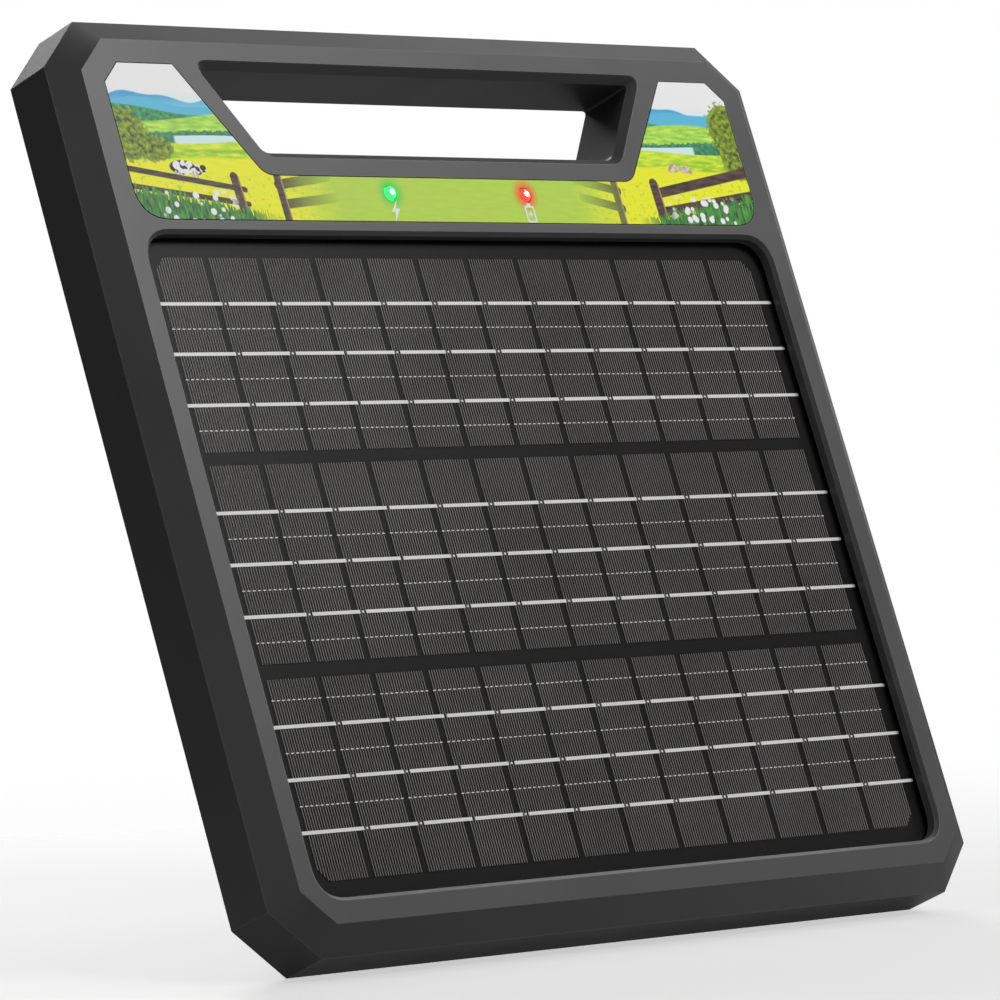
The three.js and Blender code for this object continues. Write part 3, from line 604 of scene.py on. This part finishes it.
def pasture(tree):
    art = Picture(tree)
    art.colour = mix(tree, ((art.z - 129) / 9 + art.streak * 0.5 - 0.2).clamp(), (0.66, 0.92, 1.0), (1, 1, 1))
    far = mix(tree, ((art.z - 124) / 8).clamp(), (0.30, 0.78, 0.90), (0.06, 0.36, 0.66))
    art.paint(art.z.under(art.ridge(131.6, (7.5, 1.5, 0.4), (3.1, 0.6, 2)), 0.5), far)
    art.paint(art.z.under(art.ridge(129.3, (10, 1.7, 2.4), (4.2, 0.5, 1)), 0.5), (0.10, 0.50, 0.72))
    wood = art.shade(art.leaf, (0.01, 0.16, 0.07), (0.08, 0.42, 0.14))
    art.paint(art.z.under(art.ridge(126.2, (12, 1.9, 1.0)) + art.leaf * 1.2, 0.5), wood)
    slope = art.shade(art.streak, (0.24, 0.60, 0.05), (0.60, 0.86, 0.12))
    art.paint(art.z.under(art.ridge(124.4, (16, 2.0, 0.6)), 0.5), slope)
    grove = art.shade(art.leaf, (0.01, 0.16, 0.08), (0.07, 0.34, 0.14))
    art.paint(art.z.under(art.ridge(117.4, (9, 0.5, 0.2)) + art.leaf * 3.4, 0.4), grove)
    shore = art.z.under(art.ridge(117.6, (9, 0.3, 0.2)), 0.3) * (120 - art.side).clamp()
    art.paint(shore, (0.66, 0.86, 0.95))
    field = art.shade(art.streak, (0.40, 0.70, 0.015), (0.80, 0.90, 0.05))
    art.paint(art.z.under(art.ridge(115.6, (13, 0.8, 1.2)), 0.4), field)
    art.paint(art.z.under(art.ridge(112, (19, 1.1, 0.3)), 1.2), art.shade(art.streak, (0.26, 0.56, 0.01), field))
    bright = art.shade(art.streak, (0.78, 0.84, 0.01), (1.0, 0.93, 0.02))
    art.paint(art.z.under(art.ridge(109, (15, 0.9, 2.1)), 1.2), bright)
    art.paint((art.leaf - 0.56).max(0).min(0.1) * 6 * art.z.under(104, 3), (0.35, 0.55, 0.03))

    crown = art.shade(art.leaf, (0.02, 0.08, 0.008), (0.36, 0.46, 0.02))
    for x, z, half_x, half_z in TREES:
        art.paint((art.ellipse(x, z, half_x, half_z) - (art.leaf - 0.5) * 1.1).under(1, 0.12), crown)
    for x, z, half_x, half_z in COW:
        patches = noise(tree, 36, 1, art.vector) * 5 - 1.95
        hide = art.shade(patches, (0.015, 0.015, 0.02), (1.0, 0.98, 0.94))
        art.paint(art.ellipse(x, z, half_x, half_z).under(1, 0.15), hide)
    art.paint(art.ellipse(*COW_HEAD).under(1, 0.15), (0.02, 0.02, 0.022))
    for stroke in COW_LEGS:
        art.paint(art.segment(*stroke[:4]).under(stroke[4], 0.3), (0.55, 0.5, 0.46))
    for x, z, half_x, half_z in SHEEP:
        wool = art.shade(art.leaf, (0.42, 0.28, 0.18), (0.85, 0.74, 0.58))
        art.paint(art.ellipse(x, z, half_x, half_z).under(1, 0.2), wool)

    timber = art.shade(art.streak, (0.035, 0.02, 0.016), (0.13, 0.075, 0.05))
    for stroke in RAILS + POSTS:
        art.paint(art.segment(*stroke[:4]).under(stroke[4], 0.25), timber)
    for x0, z0, x1, z1, half in POSTS:
        art.paint(art.segment(x0 + half, z0, x1 + half, z1).under(0.3, 0.2), (0.42, 0.24, 0.13))

    corner = ((art.side - 82) / 12).clamp()
    verge = art.shade(art.blade, (0.004, 0.07, 0.03), (0.10, 0.38, 0.05))
    height = 90 + (art.side - 88).max(0) * 0.17 + (art.blade - 0.5) * 14
    art.paint(art.z.under(height, 0.8) * corner, verge)
    bloom = art.dots(30, 0.38) * art.z.under(98, 2) * ((art.side - 98) / 6).clamp() * ((134 - art.side) / 5).clamp()
    art.paint(bloom, (0.95, 0.97, 0.98))

    green = mix(tree, art.streak, (0.42, 0.63, 0.05), (0.52, 0.73, 0.09))
    art.paint(((80 - art.side) / 26).clamp(), green)
    # Painted lamp light: a green and a red glow painted into the print round each lamp.
    for x, glow in ((-LAMP["x"], (0.02, 0.62, 0.10)), (LAMP["x"], (0.85, 0.05, 0.03))):
        painted_halo = (1 - art.ellipse(x, LAMP["z"], 6.4, 6.4)).clamp()
        art.paint((painted_halo * 1.5).clamp(), glow)
    return art.colour


INK_GAIN = 1.16


def overlay_material():
    material, tree, shader = new_material("printed_overlay", 0.36)
    shader.inputs["Specular IOR Level"].default_value = 0.25
    ink = tree.nodes.new("ShaderNodeMix")
    ink.data_type = "RGBA"
    ink.blend_type = "MULTIPLY"
    ink.clamp_result = True
    ink.inputs["Factor"].default_value = 1
    ink.inputs[7].default_value = (INK_GAIN, INK_GAIN, INK_GAIN, 1)
    tree.links.new(pasture(tree), ink.inputs[6])
    tree.links.new(ink.outputs[2], shader.inputs["Base Color"])
    grain = tree.nodes.new("ShaderNodeBump")
    grain.inputs["Strength"].default_value = 0.06
    grain.inputs["Distance"].default_value = 0.1 * MM
    tree.links.new(noise(tree, 1500, 2).socket, grain.inputs["Height"])
    tree.links.new(grain.outputs["Normal"], shader.inputs["Normal"])
    return material


def overlay():
    holes = [plate(circle(x, LAMP["z"], 2.8), -1, 2) for x in (-LAMP["x"], LAMP["x"])]
    bm = carved(plate(label_outline(0), 0, 0.5), *cut(*holes))
    layer = bm.loops.layers.uv.new("slab")
    for face in bm.faces:
        for corner in face.loops:
            corner[layer].uv = (corner.vert.co.x / 100, corner.vert.co.z / 100)
    return bm


piece("overlay_print", overlay(), overlay_material(), stands_for=["graphic_overlay"])

# ---- Lamps and their symbols ----
LENS = [
    (0, -0.9), (0.9, -0.82), (1.7, -0.55), (2.25, -0.15), (2.5, 0.4), (2.5, 4.9), (3.7, 4.9), (3.7, 5.9), (0, 5.9),
]
# A small white disc on the front of each lens, made to glow as a painted glint.
LAMP_GLINT = [(0, -0.98), (0.5, -0.96), (0.85, -0.84), (0.5, -0.8), (0, -0.8)]
LENS_GLOW, GLINT_GLOW = 1.6, 5
DEEP = Matrix.Rotation(math.radians(90), 4, "Z")  # turns the X axis to the slab's depth
for side, word, colour in ((-1, "green", (0.03, 0.95, 0.16)), (1, "red", (1.0, 0.05, 0.03))):
    seat = SLAB @ Matrix.Translation((side * LAMP["x"], 0, LAMP["z"])) @ DEEP
    glow = lens_material(f"{word}_lens", colour, LENS_GLOW)
    stands_for = [f"status_lens_{word}"]
    piece(f"{word}_lamp", turned(LENS), glow, stands_for=stands_for, matrix=seat)
    # Painted glint: a white glowing disc on the lens front.
    star = lens_material(f"{word}_core", (1, 1, 0.95), GLINT_GLOW)
    piece(f"{word}_lamp_glint", turned(LAMP_GLINT, 24), star, matrix=seat)

INK = (-0.06, -0.01)  # the depths between which a symbol stands on the overlay
bolt = [(1.5, 4), (-1.9, -0.3), (-0.3, -0.3), (-1.3, -4), (2.1, 0.9), (0.3, 0.9)]
bolt = [(x - LAMP["x"], z + 91.6) for x, z in bolt]
piece("charge_symbol", plate(bolt, *INK), WHITE_INK)
cell_case = carved(
    plate(rounded([(33.2, 87.9, 0.7), (33.2, 94.2, 0.7), (28.8, 94.2, 0.7), (28.8, 87.9, 0.7)], 4), *INK),
    *add(plate([(31.9, 94), (31.9, 95), (30.1, 95), (30.1, 94)], *INK)),
    *cut(
        plate(rounded([(32.5, 88.6, 0.4), (32.5, 93.5, 0.4), (29.5, 93.5, 0.4), (29.5, 88.6, 0.4)], 4), -1, 1),
    ),
)
plus = merged(
    block(30.7, 31.3, *INK, 90, 92.2),
    block(29.9, 30.65, *INK, 90.8, 91.4),
    block(31.35, 32.1, *INK, 90.8, 91.4),
)
piece("battery_symbol", merged(cell_case, plus), WHITE_INK)


# ---- Solar panel ----
ROWS = [(76.9, 8.4), (4.4, -63.9), (-68.5, -136.5)]
RIBBON_ROWS = [(60.3, 42.7, 24.9), (-12.2, -29.9, -47.6), (-84.7, -102.4, -120.0)]
COLUMNS, COLUMN_PITCH = 12, 23.0
FINGERS, FINGER_PITCH, FINGER_WIDTH = 19, 1.09, 0.24
WAFER_WIDTH = 21.2
CORNER = (4.0, 4.5)  # cut from the four outer corners of the whole array
WAFER_AT, SILVER_AT, RIBBON_AT = (5.72, 5.78), (5.66, 5.71), (5.56, 5.65)
DASH = {"length": 1.15, "height": 0.34}
RIBBON_HEIGHT, BREAK, BREAK_SHIFT, NARROW_BREAK = 1.2, 2.6, 3.4, 1.3
WHOLE_RIBBON = 2  # the joint whose break is narrower and holds no solder dot

centres = [(i - (COLUMNS - 1) / 2) * COLUMN_PITCH for i in range(COLUMNS)]
array_edge = centres[-1] + COLUMN_PITCH / 2


def strips(boxes, y0, y1):
    """Many thin boxes in one mesh, from (x0, x1, z0, z1)."""
    bm = bmesh.new()
    for x0, x1, z0, z1 in boxes:
        corners = [bm.verts.new((x, y, z)) for y in (y0, y1) for x, z in ((x0, z0), (x1, z0), (x1, z1), (x0, z1))]
        for face in ((0, 1, 2, 3), (7, 6, 5, 4), (0, 4, 5, 1), (1, 5, 6, 2), (2, 6, 7, 3), (3, 7, 4, 0)):
            bm.faces.new([corners[i] for i in face])
    bmesh.ops.recalc_face_normals(bm, faces=bm.faces)
    return bm


def wafers():
    """The 36 cells; the four at the array's corners lose that corner."""
    half = WAFER_WIDTH / 2
    made = []
    for r, (top, bottom) in enumerate(ROWS):
        for c, x in enumerate(centres):
            corners = [(x + half, bottom), (x + half, top), (x - half, top), (x - half, bottom)]
            outer = {(0, COLUMNS - 1): 1, (0, 0): 2, (2, COLUMNS - 1): 0, (2, 0): 3}.get((r, c))
            if outer is not None:
                px, pz = corners[outer]
                inward_x = -CORNER[0] if px > x else CORNER[0]
                inward_z = -CORNER[1] if pz == top else CORNER[1]
                if outer in (0, 2):
                    cut_pair = [(px + inward_x, pz), (px, pz + inward_z)]
                else:
                    cut_pair = [(px, pz + inward_z), (px + inward_x, pz)]
                corners[outer : outer + 1] = cut_pair
            made.append(plate(corners, *WAFER_AT))
    return merged(*made)


def finger_boxes():
    boxes = []
    for r, (top, bottom) in enumerate(ROWS):
        for x in centres:
            for k in range(FINGERS):
                at = x + (k - (FINGERS - 1) / 2) * FINGER_PITCH
                short = max(0.0, CORNER[1] - (array_edge - abs(at) - 1.2) * CORNER[1] / CORNER[0])
                high = top - (short if r == 0 else 0)
                low = bottom + (short if r == len(ROWS) - 1 else 0)
                boxes.append((at - FINGER_WIDTH / 2, at + FINGER_WIDTH / 2, low + 0.3, high - 0.3))
    return boxes


def dash_boxes():
    """Dotted lines half-way between the ribbons, one dash for every second finger."""
    boxes = []
    for r, ribbons in enumerate(RIBBON_ROWS):
        half = (ribbons[0] - ribbons[1]) / 2
        lines = [ribbons[0] - half, ribbons[1] - half]
        lines.append(ribbons[0] + half if r == len(RIBBON_ROWS) - 1 else ribbons[2] - half)
        for z in lines:
            for x in centres:
                for k in range(0, FINGERS, 2):
                    at = x + (k - (FINGERS - 1) / 2) * FINGER_PITCH
                    half_length, half_height = DASH["length"] / 2, DASH["height"] / 2
                    boxes.append((at - half_length, at + half_length, z - half_height, z + half_height))
    return boxes


def ribbon_breaks():
    joints = [x + COLUMN_PITCH / 2 for x in centres[:-1]]
    return [(x + BREAK_SHIFT, NARROW_BREAK if i == WHOLE_RIBBON else BREAK) for i, x in enumerate(joints)]


def ribbon_bodies():
    """The tinned ribbons with rounded ends at the right wall, and the solder dots in their breaks."""
    made = []
    half = RIBBON_HEIGHT / 2
    for z in (z for ribbons in RIBBON_ROWS for z in ribbons):
        start = -145.5
        for x, width in [*ribbon_breaks(), (143.6, 2.6)]:
            end = x - width / 2
            last = x > array_edge
            tail = [(end - half * (1 - math.cos(t)), z + half * math.sin(t)) for t in (-1.2, -0.6, 0, 0.6, 1.2)]
            right = tail if last else [(end, z - half), (end, z + half)]
            made.append(plate([(start, z - half), *right, (start, z + half)], *RIBBON_AT))
            start = x + width / 2
            if not last and width == BREAK:
                made.append(plate(circle(x, z, 0.42, 10), *RIBBON_AT))
    return merged(*made)


piece("cell_wafers", wafers(), WAFER)
piece("cell_fingers", strips(finger_boxes(), *SILVER_AT), SILVER)
piece("cell_dashes", strips(dash_boxes(), *RIBBON_AT), RIBBON)
piece("cell_ribbons", ribbon_bodies(), RIBBON)
cad("solar_laminate", BACKING)
cad("clear_front_sheet", clear_film())


# ---- Rear shell ----
ALONG_Z = Matrix(((0, 1, 0, 0), (1, 0, 0, 0), (0, 0, 1, 0), (0, 0, 0, 1)))  # swaps the X and depth axes


def side_plate(outline, x0, x1):
    """A plate seen from the side: an outline of (depth, z) between two X positions."""
    bm = placed(plate(outline, x0, x1), ALONG_Z)
    bmesh.ops.recalc_face_normals(bm, faces=bm.faces)
    return bm


def rod(radius, x0, x1, depth, z, sides=32):
    return side_plate(circle(depth, z, radius, sides), x0, x1)


def keyhole(x):
    y0, y1 = SHELL["front"] - 1, SHELL["back"] + 1
    top, half = KEYHOLE["z"] + KEYHOLE["rise"], KEYHOLE["slot"]
    return carved(
        plate(circle(x, KEYHOLE["z"], KEYHOLE["head"]), y0, y1),
        *add(
            block(x - half, x + half, y0 - 0.1, y1 + 0.1, KEYHOLE["z"], top),
            plate(circle(x, top, half), y0 - 0.2, y1 + 0.2),
        ),
    )


def arc(start, end, steps):
    return [math.radians(start + (end - start) * i / steps) for i in range(steps + 1)]


def stand_ear(x0):
    base = BOX["back"] - 1.5
    eye = [(PIVOT["depth"] + 5.5 * math.cos(t), PIVOT["z"] + 5.5 * math.sin(t)) for t in arc(-75, 75, 12)]
    return side_plate([(base, PIVOT["z"] - 9), *eye, (base, PIVOT["z"] + 9)], x0, x0 + 5)


DOOR_SCREWS = [(way * (DOOR["half_width"] - 5), (DOOR["top"] + DOOR["bottom"]) / 2) for way in (1, -1)]
SCREW_HOLE, SCREW_SINK = 1.8, 3.3  # radii


def rear_shell():
    back, wall = BOX["back"], BOX["wall"]
    hump = loft([(box_outline(0), SHELL["front"] + 1), (box_outline(0), back - 5), (box_outline(3.5), back)])
    inner = box_outline(wall)
    hollow = loft([(inner, SHELL["front"] - 1), (inner, back - 6), (box_outline(wall + 2), back - wall)])
    rim_holes = [plate(circle(x, z, SCREW_HOLE, 16), SHELL["front"] - 1, back) for x, z in RIM_SCREWS]
    rim_sinks = [plate(circle(x, z, SCREW_SINK), SHELL["back"] - 2.1, back) for x, z in RIM_SCREWS]
    tabs = [block(x - 5, x + 5, back - 9, back + 2, z - 5, z + 5) for x, z in DOOR_SCREWS]
    door_hole = carved(plate(door_outline(-DOOR["lip"]), back - 8, back + 1), *cut(*tabs))

    return carved(
        plate(slab_outline(SHELL["inset"] + GAP), SHELL["front"], SHELL["back"]),
        *add(hump),
        *cut(hollow),
        *add(plate(door_outline(2), back - 5, back - 1), stand_ear(38), stand_ear(-43)),
        *cut(
            plate(handle_outline(SLEEVE - HANDLE["lip"] + GAP), SHELL["front"] - 1, SHELL["back"] + 1),
            keyhole(KEYHOLE["x"]),
            keyhole(-KEYHOLE["x"]),
            *rim_holes,
            *rim_sinks,
            plate(door_outline(GAP), back - 2.5, back + 1),
            door_hole,
            *[plate(circle(x, z, SCREW_HOLE, 16), back - 9, back) for x, z in DOOR_SCREWS],
            rod(4.3, 90, 96, TERMINAL["depth"], TERMINAL["fence"]),
            rod(4.3, 90, 96, TERMINAL["depth"], TERMINAL["ground"]),
            block(-96, -90, 37, 51, ROCKER_Z - 10.5, ROCKER_Z + 10.5),
            rod(5.8, -96, -90, 44, JACK_Z),
            rod(2.8, -47, 47, PIVOT["depth"], PIVOT["z"]),
        ),
    )


piece("rear_casing", rear_shell(), BLACK, stands_for=["rear_shell"], bevel=0.5)


def battery_door():
    back = BOX["back"]
    grooves = [
        plate(rectangle(22, z + 0.7, z - 0.7, 0.6, 4), back - 0.7, back + 1)
        for z in [DOOR["top"] - 9 - 3.2 * i for i in range(5)]
    ]
    return carved(
        plate(door_outline(0), back - DOOR["thickness"], back),
        *cut(
            *[plate(circle(x, z, SCREW_HOLE, 16), back - 8, back + 1) for x, z in DOOR_SCREWS],
            *[plate(circle(x, z, SCREW_SINK), back - 2.1, back + 1) for x, z in DOOR_SCREWS],
            *grooves,
        ),
    )


piece("battery_cover", battery_door(), BLACK, stands_for=["battery_door"], bevel=0.3)


# ---- Screws ----
def pan_screw(length):
    """A pan-head screw along X from its head's outer face at 0, with a cross recess."""
    head = [(0, 0), (1.6, 0), (2.4, 0.18), (2.9, 0.6), (3, 0.9), (3, 1.8), (1.5, 1.8)]
    body = turned([*head, (1.5, length - 1), (0.4, length), (0, length)], 32)
    upright = block(-1, 0.95, -0.33, 0.33, -1.7, 1.7)
    across = block(-1.01, 0.94, -1.7, 1.7, -0.33, 0.33)
    return carved(body, *cut(upright, across))


INWARD = Matrix.Rotation(math.radians(-90), 4, "Z")  # turns the X axis to point at the face, from behind
for word, node, length, depth, places in (
    ("rim_screw", "shell_screw", 12, SHELL["back"], RIM_SCREWS),
    ("cover_screw", "door_screw", 7, BOX["back"], DOOR_SCREWS),
):
    for i, (x, z) in enumerate(places, 1):
        seat = SLAB @ Matrix.Translation((x, depth, z)) @ INWARD
        piece(f"{word}_{i}", pan_screw(length), STEEL, stands_for=[f"{node}_{i}"], matrix=seat)


# ---- Terminals ----
def ribbed(points, ribs, height, sides=144):
    """A turned body whose widest points carry ribs: (radius, x, share of the rib)."""
    bm = bmesh.new()
    rings = []
    for radius, x, share in points:
        ring = []
        for i in range(sides):
            turn = 2 * math.pi * i / sides
            wave = abs(math.sin(turn * ribs / 2)) ** 0.7
            r = radius - height * share * wave
            ring.append(bm.verts.new((x, r * math.cos(turn), r * math.sin(turn))))
        rings.append(ring)
    for low, high in zip(rings, rings[1:] + rings[:1], strict=True):
        for i in range(sides):
            j = (i + 1) % sides
            bm.faces.new((low[i], low[j], high[j], high[i]))
    bmesh.ops.recalc_face_normals(bm, faces=bm.faces)
    return bm


def threaded(start, end, radius, pitch):
    """Half of a thread's profile, crest and root once every pitch."""
    points = []
    x = start
    while x < end:
        points += [(radius - 0.45, x), (radius - 0.04, x + 0.35 * pitch), (radius - 0.04, x + 0.55 * pitch)]
        x += pitch
    return points


SIDE = BOX["half_width"]
STUD_FLANGE, COLLAR_LENGTH, WASHER_LENGTH = 3, 6, 1.4
STUD_FROM = SIDE - BOX["wall"] - GAP - STUD_FLANGE
COLLAR_AT = SIDE + GAP
WASHER_AT = COLLAR_AT + COLLAR_LENGTH + GAP
KNOB_AT = WASHER_AT + WASHER_LENGTH + GAP
collar_shape = [
    (3.3, 0), (9.7, 0), (10, 0.3), (10, 1.3), (9.7, 1.6), (8.5, 2.4), (8, 3.2), (8, 5.6), (7.6, COLLAR_LENGTH),
    (3.3, COLLAR_LENGTH),
]
washer_shape = [(3.3, 0), (7.8, 0), (8, 0.2), (8, 1.2), (7.8, WASHER_LENGTH), (3.3, WASHER_LENGTH)]
stud_shape = [(0, 0), (5.6, 0), (6, 0.4), (6, 3), (3, 3), *threaded(6, 34, 3, 1), (2.2, 35), (0, 35)]
knob_shape = [
    (3.35, 0, 0), (8, 0, 0), (9.1, 0.9, 0.3), (9.95, 2, 1), (9.95, 10.6, 1), (9.2, 11.8, 0.6), (7.2, 12.7, 0),
    (5.2, 13, 0), (4.6, 12.4, 0), (3.35, 12.2, 0),
]


def terminal(word, z, colour):
    """One terminal: its collar and stud on the housing, its washer and thumb nut on bodies of their own."""

    def fit(name, bm, material, node, x, body="housing", smooth=35):
        seat = SLAB @ Matrix.Translation((x, TERMINAL["depth"], z))
        piece(f"{word}_{name}", bm, material, body, [f"{word}_{node}"], smooth=smooth, matrix=seat)

    fit("post_collar", turned(collar_shape), colour, "collar", COLLAR_AT)
    fit("post", turned(stud_shape), BRUSHED, "stud", STUD_FROM)
    fit("post_washer", turned(washer_shape), BRUSHED, "washer", WASHER_AT, f"{word}_washer")
    fit("thumb_nut", ribbed(knob_shape, 12, 1.0), colour, "knob", KNOB_AT, f"{word}_knob", 50)


terminal("fence", TERMINAL["fence"], RED)
terminal("ground", TERMINAL["ground"], BLACK)

# ---- Stand pin, and the CAD nodes that keep their shape ----
pin = turned([(0, -43), (2.1, -43), (2.5, -42.6), (2.5, 42.6), (2.1, 43), (0, 43)])
pin_seat = SLAB @ Matrix.Translation((0, PIVOT["depth"], PIVOT["z"]))
piece("stand_hinge_pin", pin, BRUSHED, stands_for=["stand_pin"], matrix=pin_seat)

for name, material, width in (
    ("stand_leg", LEG_COAT, 0.5),
    ("stand_foot", RUBBER, 0.5),
    ("perimeter_gasket", RUBBER, 0),
    ("switch_body", BLACK, 0.3),
    ("power_rocker", RED, 0.4),
    ("charging_jack", BLACK, 0.3),
    ("jack_cap", RUBBER, 0.3),
    ("cap_strap", RUBBER, 0.3),
    ("panel_junction_pad", BLACK, 0.3),
    ("lamp_board", BOARD_GREEN, 0),
    ("control_board", BOARD_GREEN, 0),
    ("battery_tray", BLACK, 0.3),
    ("transformer_core", FERRITE, 0.3),
    ("transformer_winding", COPPER, 0.3),
    ("transistor_heat_sink", ALLOY, 0.2),
    ("storage_capacitor_1", CAN_BLUE, 0.3),
    ("storage_capacitor_2", CAN_BLUE, 0.3),
    ("panel_wire_red", RED, 0),
    ("panel_wire_black", RUBBER, 0),
    *[(f"battery_cell_{i}", CAN_BLUE, 0.2) for i in range(1, 5)],
    *[(f"board_screw_{i}", STEEL, 0) for i in range(1, 5)],
):
    cad(name, material, width)


# ---- Floor, light and camera ----
FLOOR = {"half": 2.0, "albedo": 0.46, "glow": 0.14, "cover": 0.5, "fade_from": 0.16, "fade_to": 0.8}


def floor_material():
    """A plain pale floor that fades into the white around it."""
    material, tree, shader = new_material("pale_floor", 0.6)
    albedo = FLOOR["albedo"]
    tone = mix(tree, noise(tree, 3, 3), (albedo * 0.985,) * 3, (albedo,) * 3)
    tree.links.new(tone, shader.inputs["Base Color"])
    shader.inputs["Emission Color"].default_value = (1, 1, 1, 1)
    shader.inputs["Emission Strength"].default_value = FLOOR["glow"]
    place = tree.nodes.new("ShaderNodeSeparateXYZ")
    tree.links.new(coordinates(tree), place.inputs[0])
    x, y = (Maths(tree, place.outputs[axis]) for axis in "XY")
    reach = (x * x + y * y).sqrt()
    shown = ((reach * -1 + FLOOR["fade_to"]) / (FLOOR["fade_to"] - FLOOR["fade_from"])).clamp()
    tree.links.new((shown * shown * (shown * -2 + 3) * FLOOR["cover"]).socket, shader.inputs["Alpha"])
    return material


def floor():
    bm = bmesh.new()
    half = FLOOR["half"]
    corners = [bm.verts.new((x, y, 0)) for x, y in ((-half, -half), (half, -half), (half, half), (-half, half))]
    bm.faces.new(corners)
    made = loose(bm, "floor")
    made.data.materials.append(floor_material())


# Soft boxes round the part: (azimuth, elevation, watts), azimuth from the part's right towards its back.
SOFT_BOXES = [
    (0, 18, 9),
    (60, 18, 14),
    (240, 10, 1.5),
    (330, 10, 2),
    (0, 45, 13),
    (60, 45, 15),
    (180, 45, 9),
    (300, 45, 26),
]
BOX_SIZE = 0.9
BOX_DISTANCE = 2.2


def soft_box(azimuth, elevation, watts):
    data = bpy.data.lights.new("soft_box", "AREA")
    data.energy = watts
    data.shape = "SQUARE"
    data.size = BOX_SIZE
    turn, rise = math.radians(azimuth), math.radians(elevation)
    away = Vector((math.cos(rise) * math.cos(turn), math.cos(rise) * math.sin(turn), math.sin(rise)))
    made = bpy.data.objects.new("soft_box", data)
    bpy.context.scene.collection.objects.link(made)
    made.location = Vector((0, 0, 0.15)) + away * BOX_DISTANCE
    made.rotation_euler = (-away).to_track_quat("-Z", "Y").to_euler()


FILL = 0.05  # the strength of the even light on the part


def studio_world():
    """White to look at, and a dim even light on the part."""
    world = bpy.data.worlds.new("studio")
    bpy.context.scene.world = world
    world.use_nodes = True
    tree = world.node_tree
    background = tree.nodes["Background"]
    background.inputs["Color"].default_value = (1, 1, 1, 1)
    seen = tree.nodes.new("ShaderNodeLightPath").outputs["Is Camera Ray"]
    tree.links.new((Maths(tree, seen) * (1 - FILL) + FILL).socket, background.inputs["Strength"])


floor()
studio_world()
for row in SOFT_BOXES:
    soft_box(*row)

camera_data = bpy.data.cameras.new("camera")
camera_data.lens = 199.6
camera_data.sensor_width = 36
camera_data.clip_end = 50
camera = bpy.data.objects.new("camera", camera_data)
bpy.context.scene.collection.objects.link(camera)
CAMERA_FROM_FACE = Vector((-1274.8, -1358.9, 57.9)) * MM
FORWARD = Vector((0.6791, 0.7331, -0.0378)).normalized()
ROUGH_UP = Vector((0.0257, 0.0278, 0.9992))
aside = FORWARD.cross(ROUGH_UP).normalized()
upward = aside.cross(FORWARD)
turn = Matrix((aside, upward, -FORWARD)).transposed()
camera.matrix_world = Matrix.Translation(slab_origin + CAMERA_FROM_FACE) @ turn.to_4x4()
bpy.context.scene.camera = camera
bpy.context.scene.view_settings.view_transform = "Standard"
